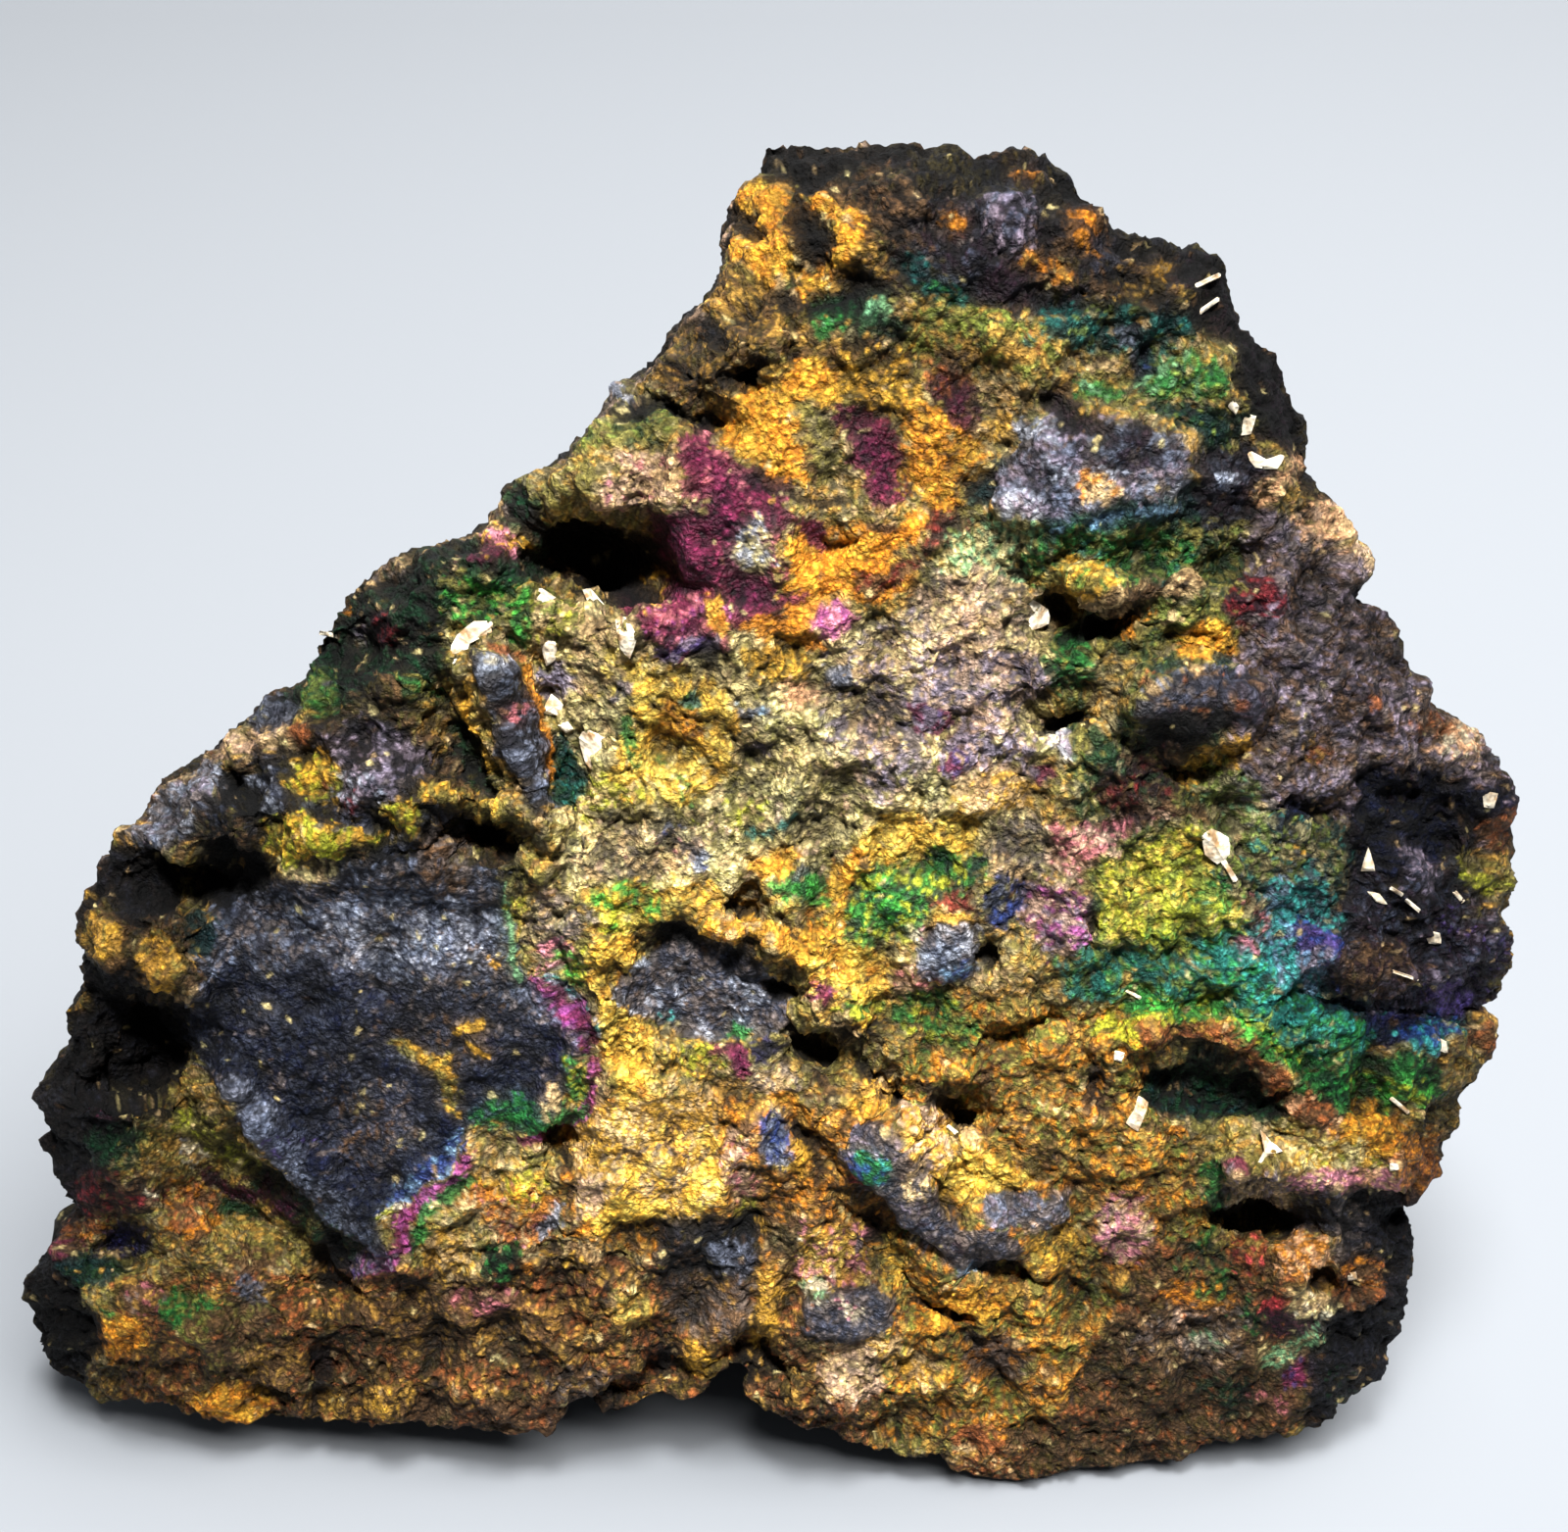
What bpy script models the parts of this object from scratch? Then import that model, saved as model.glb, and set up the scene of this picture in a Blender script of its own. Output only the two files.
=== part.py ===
"""Iridescent goethite: one natural stone in metres, +Z up, resting on a small flat spot at z = 0.

Its broad crystalline face leans back from a low front lip. Places on that face are given as
(u, v) in millimetres: u runs to the right, and v runs up the leaning face from the floor.
"""

import math
import random

import bmesh
import bpy
from mathutils import Vector, noise
from mathutils.geometry import delaunay_2d_cdt

MM = 0.001
LEAN = math.radians(20)

# Relief on the face rises toward this point, which stands in front of the stone and above it.
RELIEF_CENTRE = Vector((0.0, -114.7, 172.0))

# Where the middle of the finished stone's box lies before it is moved onto the origin.
BOX_MIDDLE = (-2.636, 32.126)

OUTLINE_STEP = 2.3
FACE_STEP = 1.52
DETAIL_STEP = 1.15
BACK_STEP = 3.8

# Relief of the whole face: a gentle dome that drops away at the rim.
DOME_MIDDLE = (0.0, 58.0)
DOME_RADIUS = 64.0
DOME_HEIGHT = 6.0
RIM_DROP = 3.4
RIM_WIDTH = 3.6
LIP_CLEARANCE = 0.5

# The back of the stone: a nearly upright wall behind the leaning face.
HEART = Vector((0.0, 34.0, 48.0))
BACK_AT_FLOOR = 61.0
BACK_AT_TOP = 63.0
STONE_TOP = 104.5
BACK_SWELL = 5.0

# Rings between the edge of the face and the rear wall: share of the depth, how far in from
# straight back the ring lies, and how far the underside sags there.
RINGS = (
    (0.06, 0.0, -0.3),
    (0.16, 0.2, 2.6),
    (0.30, 0.5, 8.2),
    (0.45, 1.0, 11.6),
    (0.60, 1.8, 12.6),
    (0.75, 3.2, 11.4),
    (0.88, 5.4, 7.0),
    (1.00, 8.5, -0.5),
)

# The sides lean in toward the back by this much, and by more where they face up. There they
# stay lower than the line from the relief centre over the edge.
SIDE_TAPER = 0.12
TOP_TAPER = 0.30
EDGE_MARGIN = 0.10

# The underside sags most below this u and less toward the two ends.
BELLY_U = -1.0
BELLY_HALF = 52.0

# Points this close to the floor lie on it.
FLOOR_SNAP = 0.02

TOP_EDGE = [
    (-1.3, 111.2), (2.7, 110.9), (5.0, 111.3), (8.0, 111.0), (13.2, 110.6), (17.3, 111.0),
    (17.8, 110.1), (20.5, 109.4), (22.2, 106.4), (23.5, 105.5), (27.6, 104.0), (31.0, 103.3),
]
RIGHT_SHOULDER = [
    (31.6, 102.3), (33.1, 98.5), (35.1, 96.9), (37.0, 93.5), (38.6, 90.8), (38.6, 87.2),
    (39.8, 85.7), (42.9, 82.4), (43.9, 79.6), (43.0, 77.7), (44.3, 77.3), (46.2, 75.0),
    (47.8, 72.1), (49.9, 68.9), (53.0, 67.2), (55.3, 64.1),
]
RIGHT_EDGE = [
    (56.3, 59.8), (56.2, 56.5), (57.1, 54.9), (56.4, 51.8), (57.5, 50.3), (57.8, 48.5),
    (56.1, 45.1), (54.3, 44.7), (56.3, 42.7), (56.7, 41.1), (55.5, 38.1), (54.9, 37.1),
    (55.4, 35.3), (53.5, 32.1), (53.5, 29.5), (51.3, 27.0), (52.5, 23.4), (51.4, 20.1),
    (52.1, 17.9), (50.9, 13.6), (49.8, 10.0),
]
RIGHT_LIP = [
    (47.8, 8.6), (45.4, 5.7), (42.4, 4.8), (40.1, 4.9), (35.4, 3.5), (30.8, 1.9),
    (26.1, 1.4), (20.3, 0.3), (16.8, 0.4), (14.3, 1.6), (13.2, 3.3), (11.1, 2.6),
    (8.7, 3.4), (5.4, 4.7), (1.9, 5.5), (-0.2, 6.7), (-2.9, 9.0), (-3.1, 10.9), (-4.2, 12.2),
]
LEFT_LIP = [
    (-5.3, 11.2), (-6.1, 9.8), (-7.2, 8.7), (-10.0, 9.2), (-12.9, 7.7), (-14.6, 6.7),
    (-16.4, 8.3), (-17.8, 6.9), (-19.6, 5.6), (-22.9, 4.8), (-26.0, 5.5), (-29.7, 6.0),
    (-31.6, 6.8), (-34.6, 6.0), (-37.6, 6.0), (-40.8, 6.9), (-42.1, 6.1), (-46.3, 6.7),
    (-50.0, 7.3), (-53.9, 8.6), (-56.9, 7.8), (-59.6, 10.1), (-61.7, 11.2), (-62.9, 12.8),
]
LEFT_EDGE = [
    (-62.5, 14.6), (-63.4, 15.9), (-63.3, 18.1), (-62.4, 21.5), (-60.4, 23.3), (-58.2, 24.9),
    (-56.8, 26.0), (-58.7, 26.8), (-58.7, 28.8), (-59.2, 30.1), (-60.6, 32.5), (-60.0, 34.4),
    (-59.8, 36.7), (-58.7, 39.4), (-57.0, 41.0), (-57.1, 42.3), (-57.5, 44.5), (-56.3, 47.6),
    (-55.6, 50.2), (-55.2, 52.9), (-54.1, 54.9), (-52.9, 56.8), (-50.3, 60.0), (-48.5, 62.5),
]
LEFT_SHOULDER = [
    (-45.8, 65.1), (-42.3, 67.2), (-40.0, 69.9), (-36.8, 71.6), (-36.1, 73.4), (-35.6, 74.9),
    (-33.6, 77.1), (-31.3, 79.7), (-28.4, 81.2), (-25.7, 82.8), (-22.6, 83.5), (-20.9, 85.4),
    (-19.0, 87.5), (-17.1, 89.0), (-14.2, 91.8), (-12.0, 94.3), (-9.7, 95.9), (-7.8, 98.2),
    (-5.5, 100.5), (-4.4, 104.9), (-2.9, 108.3),
]

# Where the face turns away: two points on the fold, and how steeply it falls beyond them.
# What lies on the left of the way from the first point to the second falls.
FOLDS = [
    ((-4.0, 107.2), (22.0, 106.4), 0.55),
    ((26.0, 105.5), (35.5, 89.0), 0.95),
    ((34.0, 92.0), (47.0, 5.0), 0.30),
    ((49.0, 30.0), (46.5, 5.0), 0.60),
    ((47.0, 11.5), (-60.0, 15.0), 0.10),
    ((-54.0, 20.0), (-59.0, 34.0), 0.30),
    ((-56.0, 38.0), (-50.5, 56.5), 0.70),
    ((-51.0, 55.5), (-37.5, 67.5), 0.95),
    ((-36.0, 71.0), (-22.5, 81.8), 0.80),
    ((-20.5, 82.5), (-5.0, 98.5), 0.80),
]

# Raised or sunken plates: outline, height, and the width of the slope at the rim.
PLATES = [
    # the big steel-grey plate on the left, a little below the crust round it
    (((-47, 44), (-44, 55), (-30, 56), (-20, 54), (-17, 41), (-21, 35), (-29, 31), (-34, 24),
      (-41, 32)), -1.2, 2.0),
    # the crust shelf above it
    (((-46, 58), (-43, 62), (-30, 66), (-24, 62), (-26, 57.5), (-36, 57.5)), 1.6, 1.6),
    # the dark block on the right
    (((26.5, 70.5), (28, 71.8), (31, 72.6), (33.5, 72.3), (35.7, 71), (36, 68.5), (33.5, 67.3),
      (31.5, 66), (29.3, 66.3), (27, 67.5)), 3.4, 0.9),
    # the oval plate high on the right
    (((15.5, 85.5), (17, 89.5), (21, 92), (27, 91.5), (31, 89), (30.5, 86), (25, 83.3),
      (19, 82.6)), 1.8, 1.2),
    # dark slabs low in the middle
    (((5.5, 30), (6.5, 34.5), (10, 34.8), (12.3, 31), (14, 28), (19.5, 23.5), (18, 21.8),
      (12, 22.6), (8.4, 26.5)), 2.2, 1.0),
    (((15.5, 28), (23, 28.3), (23.5, 25.2), (19, 24.2), (16, 25.3)), 1.5, 0.9),
    (((1.5, 17.5), (3, 19.4), (9, 19.6), (9.6, 16), (5, 13.6)), 1.3, 1.0),
    # a sunken slab under the yellow crust in the middle
    (((-13.5, 46.5), (-11, 51), (-6, 51), (-1.5, 49), (1, 45), (-1.5, 42), (-6, 41.5),
      (-11, 43.5)), -1.8, 1.2),
    # the green pocket round the column
    (((-27, 73), (-24, 77), (-16.5, 75), (-14.8, 66), (-15.6, 60.5), (-21, 61.5), (-25.5, 64)),
     -2.6, 2.0),
    # the magenta terrace high on the left
    (((-8.5, 91), (-5, 91.3), (0, 86.8), (0, 74), (-8, 72), (-13, 75), (-10.5, 80), (-10, 86)),
     1.1, 1.4),
    # the ledge over the recess low on the right
    (((36.5, 31), (42, 30.5), (51, 31.5), (51.5, 28.4), (45, 27.6), (37, 27.3)), 2.6, 1.0),
]

# Ridges and rounded lumps: the line they follow, half-width and height.
RIDGES = [
    # the sharp lower edge of the steel-grey plate
    (((-48, 44), (-46, 37.5), (-41.5, 31.5), (-37, 26.5), (-34, 22.5)), 3.0, 3.0),
    # the upright column and the cap over it
    (((-22.6, 73.0), (-21.4, 69.0), (-20.2, 64.0), (-19.2, 60.5)), 2.3, 5.4),
    (((-24.4, 72.8), (-23.8, 74.6), (-21.8, 75.6)), 1.3, 3.0),
    # the crust shelf over the cave by the column
    (((-28.5, 62.6), (-24.5, 61.8), (-20.8, 60.7)), 1.3, 2.2),
    # the brown crest that runs down to the right edge
    (((26, 41), (31, 42.3), (34.5, 41.6), (38, 39), (40, 36.6), (44, 35), (47.5, 33), (51.5, 31)),
     2.1, 2.2),
    # the dark lump over the notch in the right edge
    (((42.5, 48.2), (46, 47.8), (51, 47.2)), 3.2, 2.8),
    (((50, 53), (54.5, 50)), 2.6, 1.6),
    # rounded lumps along the left edge
    (((-54.2, 51.3), (-52.2, 50.6)), 1.7, 2.6),
    (((-49.6, 51.2), (-48.2, 49.6), (-48.4, 47.8)), 1.2, 1.8),
    (((-51.6, 48), (-50, 47)), 1.5, 1.8),
    (((-56, 45.8), (-55, 45.4)), 1.3, 1.2),
    (((-57, 35.5), (-50, 36)), 2.6, 2.6),
    (((-56, 30.5), (-48, 32)), 2.6, 1.6),
    # the lobe at the lower left and the lumps along the lip
    (((-61, 17), (-56, 15), (-50, 14)), 4.5, 3.4),
    (((-57, 24.4), (-60.5, 21.5)), 1.6, 2.2),
    (((-49, 9.6), (-45, 8.8)), 1.9, 1.5),
    (((-38, 8.6), (-33, 8.4)), 1.8, 1.5),
    (((-26, 9), (-19, 8.6)), 2.6, 1.2),
    (((14.5, 4.2), (19, 2.8)), 2.4, 1.2),
    (((2, 8.5), (6, 7.6)), 2.2, 1.0),
    # lumps of crust on the upper left
    (((-41.5, 60.6), (-38, 60.6), (-36.4, 59.6)), 1.9, 1.6),
    (((-29.4, 60.4), (-28.4, 61)), 1.2, 1.2),
    (((-31, 56.3), (-26, 56.2)), 1.7, 1.3),
    (((-22, 57), (-18.5, 56)), 1.8, 1.6),
    (((-26, 80.6), (-21.6, 82)), 1.5, 1.8),
    (((-7.6, 95.2), (-5, 93.2)), 2.0, 1.8),
    (((-3.4, 97.6), (-1.2, 96.4)), 1.2, 1.4),
    # yellow crust lumps in the middle
    (((-15, 50.6), (-13, 47.8), (-14.6, 43)), 2.0, 1.8),
    (((-13.2, 38.6), (-11, 37.4)), 1.6, 1.4),
    (((-4.5, 51.3), (-1, 50.6), (1.4, 48)), 1.1, 1.8),
    (((3.4, 45.6), (6, 42.4)), 1.5, 1.2),
    (((11.4, 33), (12.4, 29.6), (15, 27.6)), 1.1, 1.2),
    (((13.8, 38.2), (16.2, 36.6)), 1.3, 1.6),
    (((22, 79.4), (26, 78.2), (29.6, 79.2)), 1.3, 1.9),
    (((18.4, 72.6), (19.2, 70.4)), 1.4, 1.4),
    (((32.8, 59.4), (34.4, 56.6)), 1.1, 1.0),
    # broken slabs near the lower left of the middle
    (((-17, 30.6), (-12.6, 27)), 1.2, 1.4),
    (((-15.4, 34.6), (-9.4, 30.4)), 1.3, 1.2),
    (((-22.6, 21.4), (-15, 22.6)), 1.5, 1.4),
    # pale and rusty lumps at the lower right
    (((38.6, 29.8), (40.6, 31.2)), 1.7, 2.2),
    (((41.4, 22.6), (42.6, 19.4), (44.2, 17.2)), 1.3, 1.9),
    (((46.4, 20.4), (48.6, 17.6)), 2.4, 2.2),
    (((39.4, 18.6), (42, 16.6)), 1.1, 1.2),
]

# Hollows: centre, half-length, half-width, turn in degrees and depth.
HOLLOWS = [
    ((-15.2, 81.8), 7.0, 3.0, -22, 9.0),
    ((-19.6, 84.2), 1.8, 1.2, 30, 3.0),
    ((-52.3, 41.6), 6.6, 4.4, 0, 12.0),
    ((-48.4, 36.6), 2.2, 1.4, -30, 4.0),
    ((-46.4, 55.4), 5.0, 2.3, 2, 6.5),
    ((-42.0, 64.2), 2.2, 1.1, 0, 3.5),
    ((-23.3, 59.5), 3.3, 1.5, -5, 5.5),
    ((-31.6, 74.2), 3.2, 1.8, 5, 3.0),
    ((-18.0, 33.0), 2.0, 0.9, -62, 3.8),
    ((-36.2, 20.8), 2.8, 3.2, 10, 4.5),
    ((-54.2, 23.4), 3.8, 1.8, -10, 4.5),
    ((-43.8, 9.2), 1.2, 0.9, 0, 2.4),
    ((-11.4, 10.3), 3.6, 1.5, 24, 6.0),
    ((-2.6, 12.4), 2.6, 2.6, 0, 9.0),
    ((14.2, 35.5), 2.3, 1.7, 10, 5.5),
    ((2.2, 41.6), 1.9, 1.2, -42, 4.2),
    ((0.3, 46.6), 1.8, 1.1, -50, 3.0),
    ((-3.4, 53.4), 1.7, 0.9, -60, 3.2),
    ((16.2, 49.0), 0.9, 1.4, 0, 3.2),
    ((20.3, 77.6), 1.5, 1.1, 0, 4.2),
    ((21.4, 69.1), 2.3, 1.4, 15, 4.2),
    ((18.0, 80.2), 1.3, 0.8, -35, 2.4),
    ((-2.0, 94.6), 1.2, 0.9, 0, 3.2),
    ((30.2, 65.2), 2.2, 1.1, 10, 3.6),
    ((34.2, 37.4), 5.8, 2.4, -4, 3.2),
    ((38.0, 25.6), 4.4, 1.2, -3, 6.5),
    ((44.6, 19.6), 1.6, 1.2, -40, 3.0),
    ((49.6, 26.0), 2.6, 2.0, 0, 2.6),
    ((40.0, 61.8), 3.4, 1.6, -12, 2.6),
    ((50.6, 59.0), 1.8, 2.6, 0, 2.8),
    ((47.0, 62.6), 3.0, 1.2, -12, 1.8),
    ((1.6, 101.4), 1.3, 1.4, 0, 2.0),
    ((33.0, 80.8), 2.4, 1.2, 15, 2.0),
]

# Cracks and narrow steps: the line they follow, half-width and depth.
CRACKS = [
    ((( -47, 30.5), (-42, 26), (-38.6, 21.5)), 4.6, 5.5),
    (((-10, 94), (-7, 92.4), (-4.7, 91.2)), 1.1, 3.0),
    (((-7.6, 98.4), (-6.2, 97)), 1.1, 2.0),
    (((21.6, 75.6), (24, 76), (26.4, 77)), 1.0, 3.6),
    (((5.4, 27.6), (7.2, 25.2), (9.4, 22.4), (10.4, 20)), 0.9, 3.4),
    (((10.8, 18.6), (13, 17.2), (15, 16.8)), 0.8, 2.2),
    (((14.6, 22), (17.4, 21.4), (20, 20.8)), 0.9, 2.6),
    (((2.2, 36), (2.4, 33.4), (4, 31)), 0.8, 1.8),
    (((5.8, 39.4), (7.6, 38.6), (9.3, 36.8)), 1.0, 3.2),
    (((16.4, 42), (18.6, 42.8), (21.2, 44.4)), 0.9, 2.8),
    (((23.8, 52.6), (24.2, 50.6)), 0.8, 2.2),
    (((28.2, 40.4), (29.2, 38.2)), 0.9, 2.4),
    (((40.8, 46.4), (45, 45.4), (49.4, 44.6), (54.6, 44.6)), 1.6, 3.6),
    (((-39.4, 8), (-38.6, 10.6), (-37.4, 12)), 0.9, 2.8),
    (((-40, 52.4), (-42.6, 54)), 1.2, 2.0),
    (((1.6, 82), (4.6, 82)), 0.8, 1.8),
    (((-33, 60.8), (-29.4, 58.6), (-27, 58)), 0.9, 1.6),
]

# Broken faces on the back: which way each looks, and its distance from the heart of the stone.
BACK_BREAKS = [
    ((0.38, 0.91, 0.14), 30.0),
    ((-0.42, 0.90, -0.06), 29.0),
    ((0.10, 0.84, 0.54), 34.0),
    ((-0.72, 0.62, 0.32), 42.0),
    ((0.80, 0.58, -0.12), 47.0),
    ((0.05, 0.88, -0.47), 31.0),
    ((-0.66, 0.55, -0.51), 49.0),
    ((0.70, 0.36, 0.62), 50.0),
]


def whole_outline():
    """The edge of the face as one closed run of corners."""
    return (TOP_EDGE + RIGHT_SHOULDER + RIGHT_EDGE + RIGHT_LIP
            + LEFT_LIP + LEFT_EDGE + LEFT_SHOULDER)


def stepped_outline(corners, step, chance):
    """The outline cut into even steps, each new point nudged a little off the straight line."""
    points = []
    for first, second in zip(corners, corners[1:] + corners[:1]):
        start, end = Vector(first), Vector(second)
        pieces = max(1, round((end - start).length / step))
        across = Vector((end.y - start.y, start.x - end.x)).normalized()
        points.append(start)
        for k in range(1, pieces):
            nudge = across * chance.uniform(-0.3, 0.3)
            points.append(start.lerp(end, k / pieces) + nudge)
    if len(points) % 2:
        points.insert(1, points[0].lerp(points[1], 0.5))
    return points


def distance_to_line(place, line):
    """How far a place lies from an open run of points."""
    nearest = math.inf
    for first, second in zip(line, line[1:]):
        start = Vector(first)
        along = Vector(second) - start
        share = min(1.0, max(0.0, (place - start).dot(along) / along.length_squared))
        nearest = min(nearest, (place - start - along * share).length)
    return nearest


def is_inside(place, corners):
    """Whether a place lies inside a closed run of corners."""
    inside = False
    for (ax, ay), (bx, by) in zip(corners, corners[1:] + corners[:1]):
        if (ay > place.y) == (by > place.y):
            continue
        if place.x < ax + (bx - ax) * (place.y - ay) / (by - ay):
            inside = not inside
    return inside


def depth_inside(place, corners):
    """Distance to the edge of a closed shape: positive inside it and negative outside."""
    distance = distance_to_line(place, corners + corners[:1])
    return distance if is_inside(place, corners) else -distance


def smooth_step(x):
    """0 below 0, 1 above 1, and a soft slope between."""
    x = min(1.0, max(0.0, x))
    return x * x * (3 - 2 * x)


def dome(place, rim_distance):
    """The gentle swelling of the whole face, and its fall at the rim."""
    reach = (place - Vector(DOME_MIDDLE)).length / DOME_RADIUS
    rise = DOME_HEIGHT * (1 - reach * reach)
    rim = 1 - min(1.0, rim_distance / RIM_WIDTH)
    return rise - RIM_DROP * rim * rim * smooth_step((place.y - 2) / 14)


def folds(place):
    """How far the face has turned away at a place."""
    fall = 0.0
    for first, second, slope in FOLDS:
        start = Vector(first)
        along = (Vector(second) - start).normalized()
        beyond = along.cross(place - start)
        if beyond > 0:
            fall = max(fall, slope * beyond)
    return -fall


def plates(place):
    """Height of the flat slabs at a place."""
    total = 0.0
    for corners, height, slope in PLATES:
        total += height * smooth_step(0.5 + depth_inside(place, list(corners)) / slope)
    return total


def strokes(place, lines):
    """Height of the rounded ridges, or depth of the cracks, that pass near a place."""
    total = 0.0
    for line, half_width, height in lines:
        reach = distance_to_line(place, line) / (half_width * 1.35)
        if reach < 1:
            total = max(total, height * (1 - reach * reach) ** 1.5)
    return total


def hollows(place):
    """Depth of the deepest hollow at a place."""
    total = 0.0
    for centre, half_length, half_width, turn, depth in HOLLOWS:
        offset = place - Vector(centre)
        angle = math.radians(turn)
        along = offset.x * math.cos(angle) + offset.y * math.sin(angle)
        across = offset.y * math.cos(angle) - offset.x * math.sin(angle)
        reach = math.hypot(along / half_length, across / half_width) / 1.3
        if reach < 1:
            total = max(total, depth * (1 - reach ** 3))
    return total


def rough(point, size, octaves):
    """Natural unevenness between about -1 and 1, with lumps of the given size."""
    return noise.fractal(point / size, 0.9, 2.1, octaves)


def roughness(place, rim_distance):
    """Lumps and streaky grain all over the face, calm at the rim so that the edge keeps its line."""
    at = Vector((place.x, place.y, 0.0))
    grain = Vector((0.8 * place.x + 0.5 * place.y, 1.7 * place.y - 1.0 * place.x, 5.0))
    height = 1.1 * rough(at, 9.0, 2) + 0.75 * rough(at + Vector((50, 0, 0)), 4.2, 2)
    height += 0.5 * rough(grain, 3.6, 2)
    return height * (0.25 + 0.75 * smooth_step(rim_distance / 5.0))


def relief(place, rim_distance):
    """Height of the face at a place, toward the relief centre. Hollows stay shallow at the rim."""
    height = dome(place, rim_distance) + folds(place) + plates(place)
    height += strokes(place, RIDGES)
    height -= min(max(strokes(place, CRACKS), hollows(place)), 1.5 * rim_distance)
    return height + roughness(place, rim_distance)


def on_face(place, height):
    """The point in space above a place on the leaning face. The lip stays clear of the floor."""
    foot = Vector((place.x, place.y * math.sin(LEAN), place.y * math.cos(LEAN)))
    rise = (RELIEF_CENTRE - foot).normalized()
    return foot + rise * max(height, (LIP_CLEARANCE - foot.z) / rise.z)


def step_at(place):
    """Points lie closer together where the relief has detail."""
    near = min(
        min(distance_to_line(place, line) - 1.6 * width for line, width, _ in RIDGES + CRACKS),
        min((place - Vector(h[0])).length - h[1] for h in HOLLOWS),
    )
    return DETAIL_STEP + (FACE_STEP - DETAIL_STEP) * smooth_step(near / 1.5)


def scattered(corners, step_of, smallest, tries, chance):
    """Places inside a closed shape that keep their step from one another and from its edge."""
    xs, ys = zip(*corners)
    cells = {}
    found = []
    closed = corners + corners[:1]
    for _ in range(tries):
        place = Vector((chance.uniform(min(xs), max(xs)), chance.uniform(min(ys), max(ys))))
        column, row = int(place.x // smallest), int(place.y // smallest)
        gap = min(
            (
                (place - other).length
                for i in range(-2, 3)
                for j in range(-2, 3)
                for other in cells.get((column + i, row + j), ())
            ),
            default=math.inf,
        )
        if gap < smallest or gap < step_of(place):
            continue
        if not is_inside(place, corners) or distance_to_line(place, closed) < 0.6 * smallest:
            continue
        cells.setdefault((column, row), []).append(place)
        found.append(place)
    return found


def triangulated(edge, inner):
    """Triangles between a closed edge and the places inside it."""
    points, _, faces, _, _, _ = delaunay_2d_cdt(edge + inner, [], [range(len(edge))], 1, 1e-6)
    return points, faces


def build_face(mesh, edge, chance):
    """The leaning front face. It gives back the vertices along its edge."""
    corners = [(p.x, p.y) for p in edge]
    closed = corners + corners[:1]
    inner = scattered(corners, step_at, DETAIL_STEP, 90000, chance)
    places, faces = triangulated(edge, inner)
    vertices = []
    for place in places:
        rim_distance = distance_to_line(place, closed)
        vertices.append(mesh.verts.new(on_face(place, relief(place, rim_distance))))
    for face in faces:
        mesh.faces.new([vertices[k] for k in face])
    return vertices[:len(edge)]


def back_wall(height):
    """How far back the rear wall stands at a height."""
    return BACK_AT_FLOOR + (BACK_AT_TOP - BACK_AT_FLOOR) * height / STONE_TOP


def broken_off(point, share):
    """The point after the flat breaks on the back have been taken off."""
    for looks, distance in BACK_BREAKS:
        facing = Vector(looks).normalized()
        beyond = facing.dot(point - HEART) - distance
        if beyond > 0:
            point = point - facing * beyond * share
    return point


def weathered(point, share):
    """The point after the breaks and the natural roughness of the back, which only takes away."""
    point = broken_off(point, 0.92 * share)
    outward = (point - HEART).normalized()
    bump = 2.0 * rough(point, 19.0, 2) + 1.5 * rough(point + Vector((0, 90, 0)), 7.0, 2) - 1.8
    return point + outward * bump * share


def edge_directions(starts):
    """Which way the edge of the face looks at each of its points, smoothed over its small jags."""
    count = len(starts)
    area = sum(
        a.x * b.z - b.x * a.z for a, b in zip(starts, starts[1:] + starts[:1])
    )
    directions = []
    for k in range(count):
        along = starts[(k + 5) % count] - starts[k - 5]
        out = Vector((along.z, 0, -along.x)).normalized()
        directions.append(out if area > 0 else -out)
    return directions


def ring_point(start, out, ring):
    """Where a point of the face's edge, which looks outward there, lies on a ring farther back."""
    share, inward, sag = ring
    depth = (back_wall(start.z) - start.y) * share
    gap = start - RELIEF_CENTRE
    over_edge = (-gap.z * out.z - gap.x * out.x) / gap.y
    lean = SIDE_TAPER + (TOP_TAPER - SIDE_TAPER) * max(0.0, out.z)
    lean = max(over_edge + EDGE_MARGIN, lean) if out.z > -0.3 else SIDE_TAPER * (1 + out.z)
    shift = -(depth * lean + inward * (1 - 0.5 * max(0.0, out.z)))
    if out.z < 0:
        belly = 1 - ((start.x - BELLY_U) / BELLY_HALF) ** 2
        shift = shift * (1 + out.z) - out.z * sag * max(0.0, belly)
    return start + Vector((0, depth, 0)) + out * shift


def evened(points, rounds):
    """A closed run of points with its small jags eased out."""
    for _ in range(rounds):
        points = [
            point * 0.5 + (points[k - 1] + points[(k + 1) % len(points)]) * 0.25
            for k, point in enumerate(points)
        ]
    return points


def bridge(mesh, outer, inner):
    """Triangles between two closed rows of vertices. The inner row has as many, or half as many."""
    count = len(inner)
    for k in range(count):
        a, b = inner[k], inner[(k + 1) % count]
        if len(outer) == count:
            c, d = outer[k], outer[(k + 1) % count]
            mesh.faces.new((c, a, b))
            mesh.faces.new((c, b, d))
        else:
            c, d, e = outer[2 * k], outer[2 * k + 1], outer[(2 * k + 2) % len(outer)]
            mesh.faces.new((c, a, d))
            mesh.faces.new((d, a, b))
            mesh.faces.new((d, b, e))


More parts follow.
